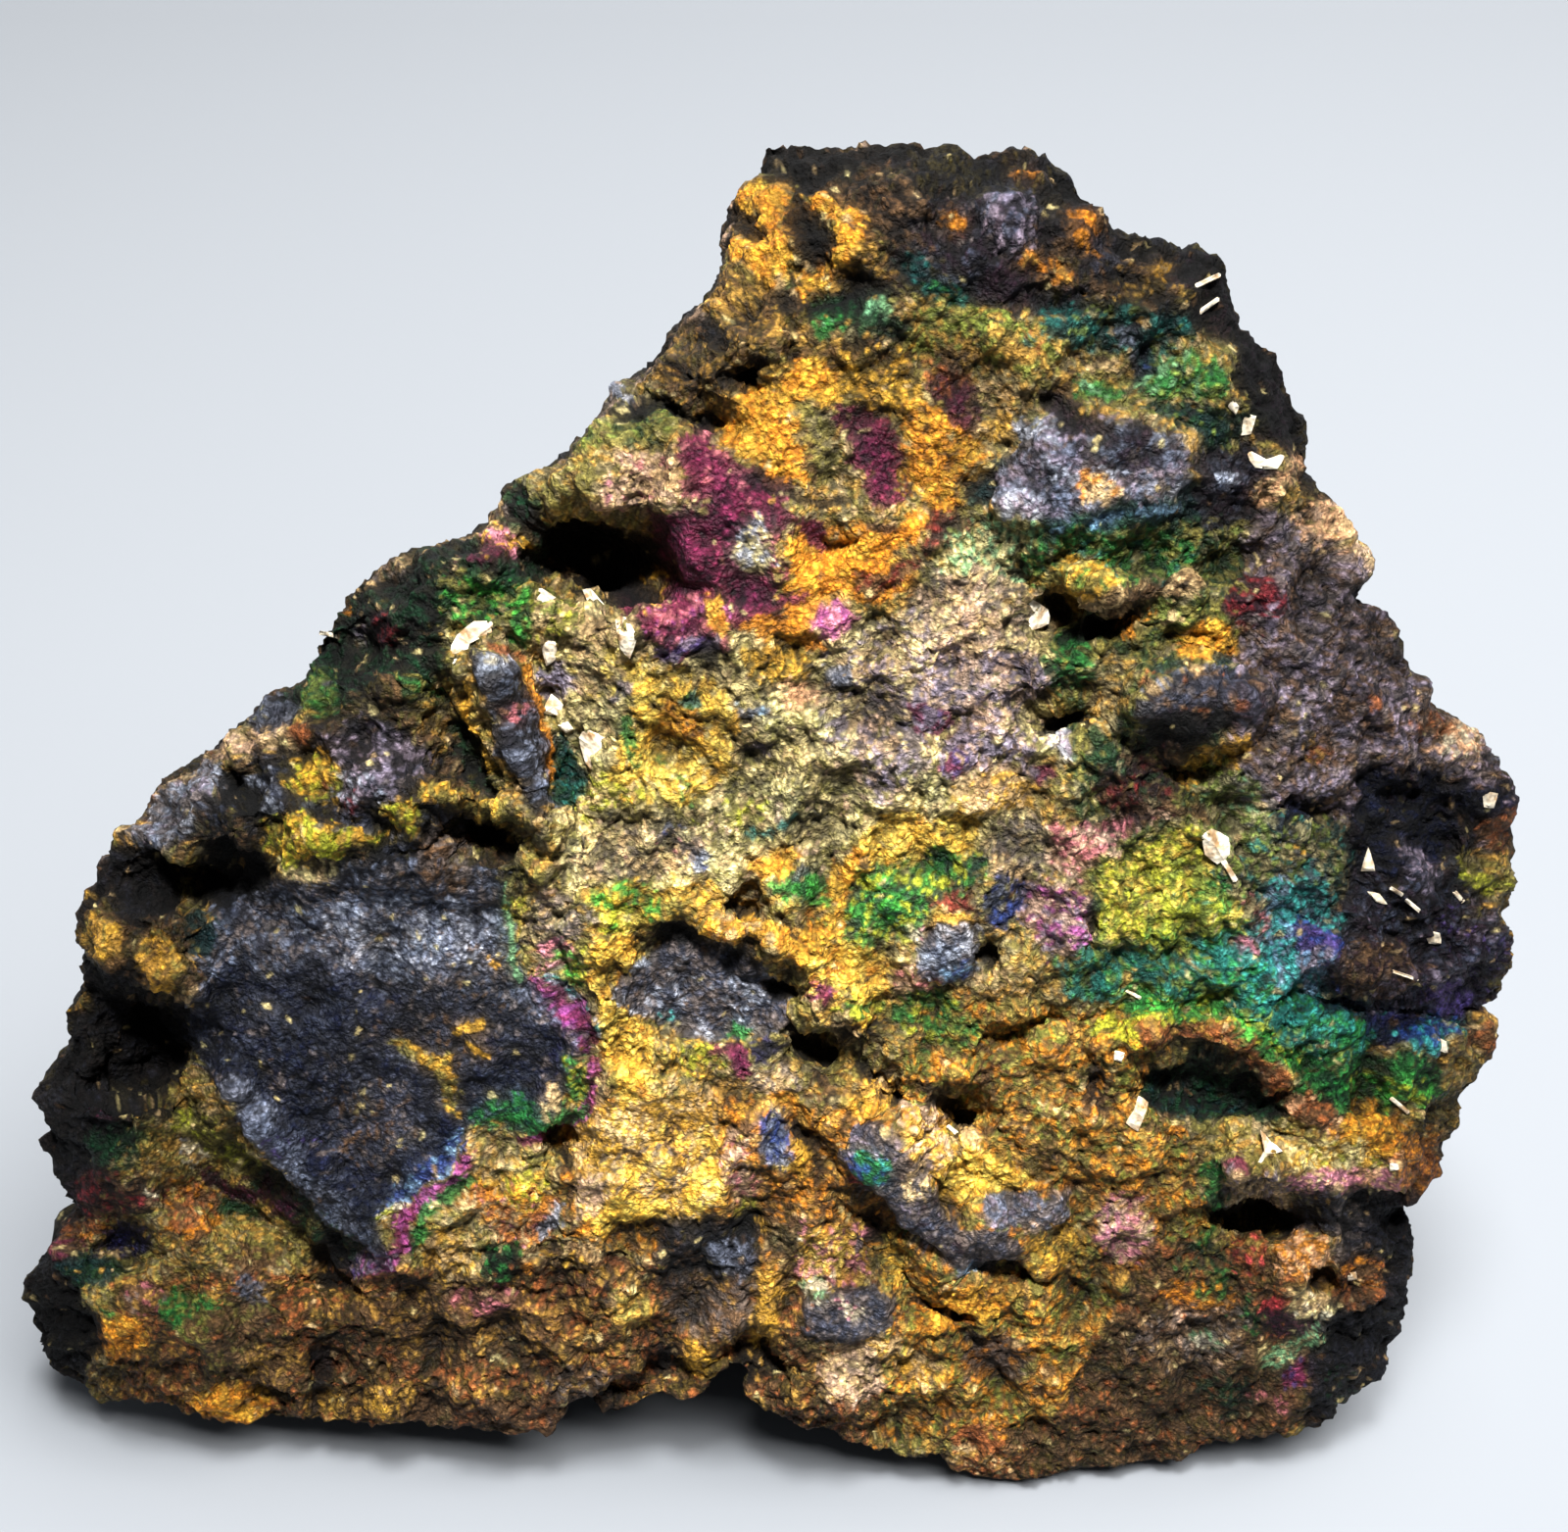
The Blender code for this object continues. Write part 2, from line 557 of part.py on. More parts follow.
def build_back(mesh, face_edge, chance):
    """The sides, ring by ring, and the rear wall that closes them."""
    starts = [vertex.co.copy() for vertex in face_edge]
    outs = edge_directions(starts)
    row = face_edge
    for number, ring in enumerate(RINGS):
        points = [ring_point(start, out, ring) for start, out in zip(starts, outs)]
        if number:
            points = evened(points, 4 * number)[::2]
        next_row = [mesh.verts.new(weathered(p, smooth_step(ring[0] / 0.22))) for p in points]
        bridge(mesh, row, next_row)
        row = next_row
    edge = [Vector((p.x, p.z)) for p in points]
    corners = [(p.x, p.z) for p in points]
    closed = corners + corners[:1]
    inner = scattered(corners, lambda place: BACK_STEP, BACK_STEP, 6000, chance)
    places, faces = triangulated(edge, inner)
    for place in places[len(edge):]:
        swell = BACK_SWELL * smooth_step(distance_to_line(place, closed) / 16.0)
        point = Vector((place.x, back_wall(place.y) + swell, place.y))
        row.append(mesh.verts.new(weathered(point, 1.0)))
    for face in faces:
        mesh.faces.new([row[k] for k in reversed(face)])


def cut_flat_spot(mesh):
    """Takes off what hangs below the floor and closes the cut with one flat face."""
    everything = mesh.verts[:] + mesh.edges[:] + mesh.faces[:]
    bmesh.ops.bisect_plane(
        mesh, geom=everything, dist=FLOOR_SNAP, plane_co=(0, 0, 0), plane_no=(0, 0, -1),
        clear_outer=True,
    )
    for vertex in mesh.verts:
        if vertex.co.z < FLOOR_SNAP:
            vertex.co.z = 0.0
    rim = [edge for edge in mesh.edges if edge.is_boundary]
    bmesh.ops.holes_fill(mesh, edges=rim, sides=0)


def to_metres(mesh):
    """Moves the stone onto the origin and turns millimetres into metres."""
    for vertex in mesh.verts:
        vertex.co.x = (vertex.co.x - BOX_MIDDLE[0]) * MM
        vertex.co.y = (vertex.co.y - BOX_MIDDLE[1]) * MM
        vertex.co.z = vertex.co.z * MM


def stone_material():
    """Dark metallic brown-grey mineral with a dull sheen."""
    material = bpy.data.materials.new("goethite")
    material.use_nodes = True
    shader = material.node_tree.nodes["Principled BSDF"]
    shader.inputs["Base Color"].default_value = (0.16, 0.11, 0.05, 1)
    shader.inputs["Roughness"].default_value = 0.55
    shader.inputs["Metallic"].default_value = 0.2
    return material


def build_stone():
    chance = random.Random(7)
    mesh = bmesh.new()
    edge = stepped_outline(whole_outline(), OUTLINE_STEP, chance)
    edge.reverse()
    face_edge = build_face(mesh, edge, chance)
    build_back(mesh, face_edge, chance)
    cut_flat_spot(mesh)
    to_metres(mesh)
    bmesh.ops.triangulate(mesh, faces=mesh.faces[:])
    bmesh.ops.recalc_face_normals(mesh, faces=mesh.faces[:])
    data = bpy.data.meshes.new("goethite")
    mesh.to_mesh(data)
    mesh.free()
    data.materials.append(stone_material())
    stone = bpy.data.objects.new("goethite", data)
    bpy.context.scene.collection.objects.link(stone)
    return stone


for old in list(bpy.data.objects):
    bpy.data.objects.remove(old)
build_stone()
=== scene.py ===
"""The looks of the iridescent goethite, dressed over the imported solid: crust grains, colours and light."""
import math

import bmesh
import bpy
import numpy as np
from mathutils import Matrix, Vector
from mathutils.bvhtree import BVHTree


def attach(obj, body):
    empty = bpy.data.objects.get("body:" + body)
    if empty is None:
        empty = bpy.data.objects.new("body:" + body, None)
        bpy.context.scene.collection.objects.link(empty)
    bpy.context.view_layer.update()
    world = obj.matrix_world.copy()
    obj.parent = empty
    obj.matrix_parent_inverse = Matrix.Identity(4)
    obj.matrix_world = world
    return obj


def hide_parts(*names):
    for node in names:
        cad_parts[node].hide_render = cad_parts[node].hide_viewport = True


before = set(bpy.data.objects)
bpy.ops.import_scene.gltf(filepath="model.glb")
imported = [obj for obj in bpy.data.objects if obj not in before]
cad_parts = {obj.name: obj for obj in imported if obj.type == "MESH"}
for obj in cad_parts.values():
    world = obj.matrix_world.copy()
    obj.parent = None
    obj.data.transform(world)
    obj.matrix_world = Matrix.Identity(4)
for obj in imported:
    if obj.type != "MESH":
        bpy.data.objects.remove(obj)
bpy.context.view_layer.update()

MM = 0.001
STONE = "goethite"
TINY = 1e-12

# The photo's measuring sheet: u runs right and v runs up the leaning front face, in mm from the lip.
LEAN = math.radians(20)
EYE = np.array([0.0, -114.7, 172.0])
SHEET_TO_FRAME = np.array([2.636, -32.126, 0.0])
CAMERA_DROP = math.radians(39)
CAMERA_LENS = 52.94
CAMERA_NEAR = 0.005
SENSOR = 36.0

# How finely the solid's triangles are split, and how many pieces the dense surface is dealt into.
WELD_DIGITS = 4
SPLITS = 3
PIECE_COUNT = 4
SMOOTHING = 0.4
BEHIND = -0.05

# Rounds of softening, each with this strength: for the plates, the sunk pits and the colours.
SOFTENING = 0.8
PLATE_ROUNDS = 2
PIT_ROUNDS = 5
BLEND_ROUNDS = 10

# Hashing: large odd numbers that scatter neighbouring cells, and masks for the bits that are kept.
CELL_STEPS = (73856093, 19349663, 83492791)
SALT_STEP = 2654435761
MIX_STEPS = (1274126177, 2246822519)
LOW_32_BITS = 0xFFFFFFFF
LOW_24_BITS = 0xFFFFFF
DICE = {"mark": 97.31, "glint": 53.7, "level": 29.3, "warmth": 71.9}
ORDER_STEP = 0.6180339

# Each octave of rough noise is finer and fainter than the one before; the sum is scaled back.
OCTAVE_SHRINK = 2.1
OCTAVE_FADE = 0.55
OCTAVE_SUM = 1.6

# The size of each noise in mm, and its salt or salts, so that no two run alike.
NOISES = {
    "crags": (7.0, 5),
    "lumps": (2.6, 11),
    "bend": (1.0, (201, 202, 203)),
    "wobble": (2.4, 301),
    "drift": (6.0, 331),
    "mark_drift": (2.0, 351),
    "pull": (0.9, (401, 411)),
    "plate_edge": (1.2, (421, 431)),
    "fleck": (0.33, 501),
    "warmth": (1.7, 511),
    "flake_edge": (1 / 7.3, 601),
    "flake_tilt": (1 / 3.1, 611),
}

# Crust relief in mm, and the share of each kind that stays on the calmest plate.
CRAG_HEIGHT = 1.0
LUMP_HEIGHT = 0.8
BEND = 0.3
GRAINS_KEPT = 0.2
CRAGS_KEPT = 0.3
LUMPS_KEPT = 0.35
CRAG_LEVEL = 0.5

# Two layers of crust grains: size and height in mm, how much higher some grow, how steep their tops
# tilt, the width of their seams as a share of their size, and their salt.
GRAINS = {"size": 0.85, "height": 0.34, "growth": 1.3, "slope": 0.18, "seam": 0.25, "salt": 31}
CRUMBS = {"size": 0.42, "height": 0.24, "growth": 1.5, "slope": 0.25, "seam": 0.3, "salt": 71}
LEAST_GROWTH = 0.2
DOME_REACH = 0.85
DOME_LEVEL = 0.6
SEED_SPREAD = 0.9
SEED_MARGIN = 0.05
SLOPE_TURNS = (41, 67, 97)

# How much painted light each point gets, painted shade in the seams between grains and painted light on lumps,
# crags and calm plates: where it starts, what adds to it, and its limits.
OPEN_START = 0.42
OPEN_BY_SEAM = 0.42
GRAIN_SEAM_SHARE = 0.45
CRUMB_SEAM_SHARE = 0.55
OPEN_BY_LUMP = 0.42
OPEN_BY_CRAG = 0.25
OPEN_BY_CALM = 0.25
OPEN_LIMITS = (0.06, 1.15)

# Relief is kept low near the ground, plates rise only where they face the eye, and black marks sink: the black
# painted as shade in pits and cracks, and the black crust too.
FOOT_TOP = 1.5
FOOT_SHARE = 0.3
RISE_RAMP = 2
PLATE_EDGE = 0.35
SUNKEN = ["black", "brownblack"]
SINK = 0.55

# How marks lie on the sheet: how far noise pulls their edges, and how uneven the rounds are.
FINE_PULL = 0.16
COARSE_PULL = 0.6
FINE_VEIN = 0.5
BLOB_REACH = 1.5
BLOB_WOBBLE = 0.4

# The share of a mix that changes from grain to grain; the rest changes slowly over the stone.
MARK_MIX = 0.6
FRONT_MIX = 0.5
BACK_MIX = 0.35

# Where no mark reaches, the ground of the front, and the plain rock that turns away from the eye.
FRONT_GROUND = ["darkolive", "brown", "olive", "olivegrey", "ochre", "olive", "tan", "gold"]
BACK_GROUND = ["black", "brownblack", "charcoal", "darkolive", "brownblack", "brown", "greybrown", "olive"]
BACK_FACING = 0.06
BACK_WOBBLE = 0.1
# Speckles on single grains: the black ones painted shade in gaps, the pale cream one a painted glint, the rest
# mineral colour.
SPECKLES = ["black", "brownblack", "palecream", "brown", "charcoal", "black", "tan", "darkolive"]
SPECKLE = 0.06

# How colours blend, darken and warm from grain to grain, how strong the painted shading is, and how matt the
# finish is.
BLEND = 0.35
CONTRAST = 1.2
LEVEL = 0.72
LEVEL_BY_GRAIN = 0.6
LEVEL_BY_FLECK = 0.25
WARMTH = 0.08
WARMTH_BY_GRAIN = 0.06
SHADE = 0.03
SHADE_BY_OPENNESS = 1.12
ROUGH_MORE = 0.08
ROUGH_BY_FLECK = 0.1
ROUGH_LIMITS = (0.2, 0.95)

# Pale flakes: heights in mm, then shares of a flake.
FLAKE_RISE = 0.3
FLAKE_ROOT = 0.7
FLAKE_RIM = 0.6
FLAKE_PEAK = 1.2
FLAKE_TOP = 0.72
FLAKE_TILT = 0.18
FLAKE_DRAPE = 0.5
FLAKE_BULGE = 0.06
FLAKE_UNEVEN = 0.08
SLIVER_TIP = 0.6

# Fine detail of the materials: how many times each pattern repeats in a metre.
FLECKS = 5200.0
CRYSTALS = 2300.0
CRYSTAL_BEND = 1100.0
CRYSTAL_BEND_REACH = 0.0007
STAINS = 900.0
CHIPS = 2600.0
PAPER_MOTTLE = 4.0
STAIN_COLOUR = (150, 118, 80)
MILK_COLOUR = (222, 210, 186)
PAPER_LOW = (142, 145, 149)
PAPER_HIGH = (146, 149, 153)

# The floor's profile in metres, from front to back, and half its width.
FLOOR_RUN = [(-1.2, 0.0), (0.30, 0.0), (0.42, 0.012), (0.52, 0.05), (0.60, 0.12), (0.64, 0.22), (0.65, 0.9)]
FLOOR_HALF = 1.2

# Lights, in metres, watts and degrees.
WHITE = (1.0, 1.0, 1.0)
PAPER_LIGHT = {"place": (0.3, -0.04, 0.8), "target": (0.12, -0.02, 0.0), "size": 0.75, "power": 18.8,
               "colour": WHITE}
OVERHEAD = {"place": (0.0, -0.05, 0.62), "target": (0.0, -0.01, 0.05), "size": 0.14, "power": 3.6,
            "colour": (0.97, 0.985, 1.0)}
CENTRE = {"place": (0.03, -0.2, 0.6), "target": (0.004, -0.017, 0.044), "radius": 0.045, "power": 77.0,
          "spread": 12, "colour": (1.0, 0.99, 0.97)}
BACK = {"place": (-0.1, 0.6, 0.35), "target": (0.0, 0.0, 0.05), "size": 0.8, "power": 5.0, "colour": WHITE}
WORLD_COLOUR = (206, 214, 226)
WORLD_STRENGTH = 0.1

# The steel-grey plate's outline on the sheet.
PLATE = ((-47, 45), (-44, 55), (-36, 57), (-22, 57), (-21, 50), (-18, 46), (-16, 42), (-17.5, 35),
         (-25.5, 34.5), (-33, 26), (-33, 22), (-37.5, 26), (-44.5, 35.5), (-48, 43))

# Colours as they look (sRGB), then how metallic and how rough each mineral skin is.
MINERALS = {
    # black and brownblack are the black crust, and are also laid into cracks, hollows, caves and under ledges
    # as painted shade.
    "black": ((8, 7, 8), 0.0, 0.78),
    "brownblack": ((26, 20, 18), 0.0, 0.72),
    "charcoal": ((36, 37, 46), 0.1, 0.58),
    "plumblack": ((38, 22, 34), 0.1, 0.58),
    "slate": ((68, 72, 86), 0.35, 0.42),
    "steel": ((116, 122, 138), 0.35, 0.36),
    "silver": ((172, 176, 188), 0.35, 0.36),
    "greybrown": ((108, 98, 94), 0.0, 0.55),
    "lilacgrey": ((144, 132, 146), 0.15, 0.48),
    "brown": ((100, 76, 52), 0.0, 0.55),
    "rust": ((156, 96, 56), 0.0, 0.55),
    "redbrown": ((120, 36, 44), 0.1, 0.45),
    "red": ((200, 80, 84), 0.1, 0.45),
    "magenta": ((122, 46, 78), 0.15, 0.4),
    "darkmagenta": ((80, 30, 54), 0.15, 0.4),
    "pink": ((200, 132, 150), 0.1, 0.48),
    "rose": ((190, 118, 126), 0.1, 0.48),
    "orchid": ((172, 88, 152), 0.15, 0.4),
    "violet": ((88, 72, 126), 0.15, 0.4),
    "indigo": ((36, 36, 78), 0.15, 0.36),
    "navy": ((16, 24, 50), 0.2, 0.5),
    "blue": ((48, 70, 130), 0.2, 0.36),
    "sky": ((128, 160, 186), 0.3, 0.4),
    "cyan": ((72, 160, 154), 0.25, 0.4),
    "teal": ((42, 110, 104), 0.25, 0.4),
    "darkteal": ((22, 54, 56), 0.2, 0.4),
    "darkgreen": ((20, 58, 36), 0.15, 0.42),
    "green": ((46, 120, 60), 0.15, 0.44),
    "brightgreen": ((76, 172, 74), 0.1, 0.45),
    "mint": ((124, 170, 128), 0.1, 0.48),
    "lime": ((172, 174, 56), 0.05, 0.5),
    "olivegreen": ((116, 128, 60), 0.05, 0.5),
    "olive": ((130, 122, 66), 0.0, 0.52),
    "darkolive": ((68, 60, 26), 0.0, 0.52),
    "olivegrey": ((132, 122, 92), 0.0, 0.55),
    "gold": ((214, 168, 66), 0.05, 0.5),
    "yellow": ((228, 200, 100), 0.0, 0.52),
    "amber": ((204, 136, 42), 0.05, 0.48),
    "ochre": ((182, 144, 72), 0.0, 0.55),
    "tan": ((200, 172, 128), 0.0, 0.55),
    "pinktan": ((200, 170, 146), 0.0, 0.55),
    "peach": ((234, 184, 142), 0.0, 0.52),
    "palecream": ((228, 210, 152), 0.0, 0.52),
    "cream": ((232, 220, 190), 0.0, 0.5),
}
MINERAL_NAMES = list(MINERALS)


def srgb_to_linear(colour):
    """A colour as it looks, 0 to 255, turned into the amounts of light that it sends back."""
    c = np.asarray(colour, dtype=float) / 255.0
    return np.where(c <= 0.04045, c / 12.92, ((c + 0.055) / 1.055) ** 2.4)


# Noise in plain numpy. Every number comes from a hash of its place, so each run gives the same stone.
def hashed(cells, salt):
    """Whole-number cells to even numbers from 0 to 1."""
    x, y, z = np.moveaxis(cells.astype(np.int64), -1, 0)
    h = x * CELL_STEPS[0] ^ y * CELL_STEPS[1] ^ z * CELL_STEPS[2] ^ (salt * SALT_STEP)
    h = (h ^ (h >> 13)) * MIX_STEPS[0] & LOW_32_BITS
    h = (h ^ (h >> 16)) * MIX_STEPS[1] & LOW_32_BITS
    return ((h ^ (h >> 15)) & LOW_24_BITS) / float(LOW_24_BITS)


def smooth_noise(points, size, salt):
    """Soft noise from -1 to 1, with hills about size apart."""
    at = points / size
    low = np.floor(at)
    part = at - low
    part = part * part * (3 - 2 * part)
    total = np.zeros(len(points))
    for corner in np.ndindex(2, 2, 2):
        weight = np.prod(np.where(corner, part, 1 - part), axis=1)
        total += weight * hashed(low + corner, salt)
    return total * 2 - 1


def rough_noise(points, size, salt, octaves=4):
    """Smooth noise at ever finer sizes."""
    total = np.zeros(len(points))
    for step in range(octaves):
        total += smooth_noise(points, size / OCTAVE_SHRINK**step, salt + step) * OCTAVE_FADE**step
    return total / OCTAVE_SUM


def noise_vectors(points, size, salts):
    """Soft noise in as many directions as there are salts."""
    return np.stack([smooth_noise(points, size, salt) for salt in salts], axis=1)


def redrawn(number, step, start=0.0):
    """A new even number from 0 to 1, drawn from a grain's own number."""
    return (number * step + start) % 1.0


def grains(points, size, salt):
    """Each point's grain: how far its middle and the next one's are, that middle, and the grain's number."""
    at = points / size
    home = np.floor(at)
    first = np.full(len(points), np.inf)
    second = np.full(len(points), np.inf)
    middle = np.zeros_like(points)
    number = np.zeros(len(points))
    for step in np.ndindex(3, 3, 3):
        cell = home + np.array(step) - 1
        within = np.stack([hashed(cell, salt + k) for k in (1, 2, 3)], axis=1)
        seed = cell + within * SEED_SPREAD + SEED_MARGIN
        gap = np.linalg.norm(seed - at, axis=1)
        near = gap < first
        second = np.where(near, first, np.minimum(second, gap))
        first = np.where(near, gap, first)
        middle[near] = seed[near]
        number[near] = hashed(cell[near], salt + 4)
    return first, second, middle * size, number


# The photo's measuring sheet.
def to_sheet(places):
    """Places in the frame, in mm, to (u, v) on the leaning sheet, seen from the eye."""
    local = places - SHEET_TO_FRAME
    normal = np.array([0.0, math.cos(LEAN), -math.sin(LEAN)])
    ray = local - EYE
    reach = -(EYE @ normal) / (ray @ normal)
    hit = EYE + ray * reach[:, None]
    return np.stack([hit[:, 0], hit[:, 2] / math.cos(LEAN)], axis=1)


def from_sheet(u, v):
    """A place on the leaning sheet, in mm in the frame."""
    return np.array([u, v * math.sin(LEAN), v * math.cos(LEAN)]) + SHEET_TO_FRAME


# Marks on the sheet. Each paints its minerals on a share of the grains inside it, later ones over earlier.
MARKS = []


def area(minerals, share, *corners):
    """An outlined patch."""
    MARKS.append(("area", minerals, share, 0.0, np.array(corners, dtype=float)))


def vein(minerals, share, half, *run):
    """A band along a run of points, half wide on each side."""
    MARKS.append(("vein", minerals, share, half, np.array(run, dtype=float)))


def blob(minerals, share, middle, reach):
    """An uneven oval patch round its middle, reaching so far in u and in v."""
    MARKS.append(("blob", minerals, share, 0.0, np.array([middle, reach], dtype=float)))


def inside_area(corners, at):
    """Which points lie inside an outline."""
    inside = np.zeros(len(at), dtype=bool)
    for a, b in zip(corners, np.roll(corners, -1, axis=0)):
        crosses = (a[1] > at[:, 1]) != (b[1] > at[:, 1])
        rise = b[1] - a[1] if b[1] != a[1] else TINY
        inside ^= crosses & (at[:, 0] < (b[0] - a[0]) * (at[:, 1] - a[1]) / rise + a[0])
    return inside


def near_run(run, half, at):
    """Which points lie within half of a run of points."""
    close = np.full(len(at), np.inf)
    for a, b in zip(run[:-1], run[1:]):
        along = b - a
        share = np.clip((at - a) @ along / max(along @ along, TINY), 0, 1)
        close = np.minimum(close, np.linalg.norm(at - a - share[:, None] * along, axis=1))
    return close < half


def mark_limits(kind, half, points):
    """The lowest and the highest corner of the sheet that a mark can reach."""
    if kind == "blob":
        middle, reach = points
        return middle - reach * BLOB_REACH, middle + reach * BLOB_REACH
    return points.min(axis=0) - half, points.max(axis=0) + half


def inside_mark(kind, half, points, at, wobble):
    """Which points lie inside a mark."""
    if kind == "area":
        return inside_area(points, at)
    if kind == "vein":
        return near_run(points, half, at)
    middle, reach = points
    return np.linalg.norm((at - middle) / reach, axis=1) < 1 + BLOB_WOBBLE * wobble


def mixed_minerals(names, spread):
    """Numbers from 0 to 1 turned into the numbers of a run of minerals."""
    numbers = np.array([MINERAL_NAMES.index(name) for name in names])
    return numbers[np.clip((spread * len(names)).astype(int), 0, len(names) - 1)]


def spread_of(number, drift, by_grain):
    """How far along its mix each point lies: by_grain of it from its grain, the rest from slow drift."""
    return number * by_grain + (drift + 1) * (1 - by_grain) / 2


def paint(fine, coarse, wobble, drift, grain_number):
    """The number of the mineral at each point, or -1 where no mark reaches."""
    mineral_at = np.full(len(fine), -1)
    for order, (kind, minerals, share, half, points) in enumerate(MARKS):
        at = fine if kind == "vein" and half < FINE_VEIN else coarse
        low, high = mark_limits(kind, half, points)
        box = np.nonzero(((at >= low) & (at <= high)).all(axis=1))[0]
        hit = inside_mark(kind, half, points, at[box], wobble[box])
        dice = redrawn(grain_number[box], DICE["mark"], order * ORDER_STEP)
        chosen = hit & (dice < share)
        spread = spread_of(dice / share, drift[box], MARK_MIX)
        mineral_at[box[chosen]] = mixed_minerals(minerals.split(), spread)[chosen]
    return mineral_at


def paint_broad_fields():
    """The ground colours of the whole face, before its details."""
    area("slate charcoal charcoal steel greybrown slate navy", 1, *PLATE)
    area("charcoal slate navy charcoal greybrown", 1, (-47, 45), (-44, 49), (-34, 46.5), (-24, 45.5),
        (-17, 43), (-17.5, 35), (-25.5, 34.5), (-33, 26), (-33, 22), (-37.5, 26), (-44.5, 35.5), (-48, 43))
    area("black darkgreen brownblack black", 1, (-39, 70), (-37, 76), (-31, 81), (-26, 85), (-21, 87),
        (-17.5, 86), (-17, 80), (-25.5, 78), (-25, 69.5))
    area("black brownblack charcoal", 1, (-66, 10), (-62, 36), (-57, 49), (-53, 59), (-47, 57), (-47, 45),
        (-48, 38), (-52, 37), (-55, 30), (-58, 24), (-59, 10))
    area("black darkolive brown brownblack olive", 1, (-40, 66), (-30, 72), (-24, 66), (-20, 57), (-44, 57),
        (-50, 60))
    area("tan olivegrey palecream olive pinktan", 1, (-17, 78), (-10, 78), (0, 76), (20, 78), (20, 56),
        (-18, 55))
    area("olivegreen olive darkgreen olivegrey", 1, (15, 86), (34, 86), (38, 70), (34, 50), (24, 50),
        (20, 78))
    area("greybrown lilacgrey brown greybrown charcoal", 1, (34, 86), (46, 80), (60, 64), (56, 58), (44, 60),
        (34, 62))
    area("charcoal brownblack darkolive plumblack black", 1, (6, 108), (24, 108), (34, 103), (31, 99.5),
        (20, 99.5), (8, 100.5))
    area("teal olivegrey darkteal olivegreen", 1, (34, 62), (46, 60), (54, 56), (54, 42), (38, 46), (33, 54))
    area("gold ochre amber brown darkolive gold", 1, (-18, 37), (-5, 37), (8, 36), (10, 24), (0, 20),
        (-18, 24))
    area("gold ochre olive amber brown olivegreen rust", 1, (10, 46), (30, 44), (36, 20), (30, 6), (8, 4),
        (8, 24))
    area("brown ochre darkolive brown rust darkolive brownblack", 1, (-56, 20), (-16, 22), (8, 20), (8, 1),
        (-16, 2), (-56, 8))
    area("black charcoal brownblack", 1, (45, 28), (58, 30), (56, 8), (44, 5), (43, 14), (46, 20))
    area("brown darkolive brown rust", 1, (30, 24), (44, 22), (44, 6), (18, -3), (10, 0), (24, 8))


def paint_top_rim():
    """The black shoulder at the very top, its glints and its thin tan rim."""
    area("black black brownblack", 1, (-3, 114), (24, 114), (36, 104), (41, 90), (39, 85), (33, 97),
        (20, 100), (8, 104), (0, 108.5), (-5, 109))
    blob("darkolive brown black brownblack", 0.7, (7.5, 106), (4.5, 4))
    blob("slate charcoal plumblack greybrown", 0.7, (12.5, 104.2), (3.6, 3.4))
    blob("steel lilacgrey slate charcoal", 0.55, (16.2, 106.3), (2.2, 2.8))
    blob("plumblack charcoal brown black", 0.7, (21, 104), (4, 3))
    blob("charcoal darkolive black", 0.6, (13, 109.3), (7, 1.6))
    blob("charcoal plumblack brownblack", 0.9, (17, 101), (3.6, 2))
    blob("darkolive charcoal brown", 0.6, (25, 102), (6, 2.1))
    blob("slate", 0.6, (22.5, 103.9), (1.6, 1))
    vein("amber", 0.8, 0.3, (16.2, 109.3), (17.6, 109))
    vein("amber", 0.8, 0.4, (11.4, 106), (12.6, 105.4))
    vein("amber", 0.8, 0.4, (20.5, 106.3), (22.3, 105.3))
    vein("amber", 0.7, 0.4, (20.6, 104.7), (22.4, 103.8))
    vein("ochre amber", 0.7, 0.5, (17, 103.2), (20, 102.2))
    vein("ochre darkolive", 0.6, 0.5, (22, 100.5), (26, 101.5), (30, 100.2))
    vein("ochre brown", 0.5, 0.4, (24, 103.4), (28, 102.6), (31, 101))
    vein("darkteal teal", 0.6, 0.8, (8.5, 103), (11, 101))
    vein("teal green", 0.8, 0.5, (10, 101.2), (12, 100.6))
    vein("tan pinktan", 0.9, 0.35, (4, 111.2), (12, 111.6), (17.5, 111))
    vein("tan brown", 0.9, 0.4, (22.5, 106.2), (27, 105), (31, 103.3))
    blob("gold", 0.9, (27.3, 102.8), (0.8, 0.6))
    area("black", 1, (0.2, 108.5), (2, 107), (2.5, 106), (3.8, 105), (4, 103.5), (2.8, 102.2), (1.4, 102.4),
        (1, 104.2), (0.1, 105))


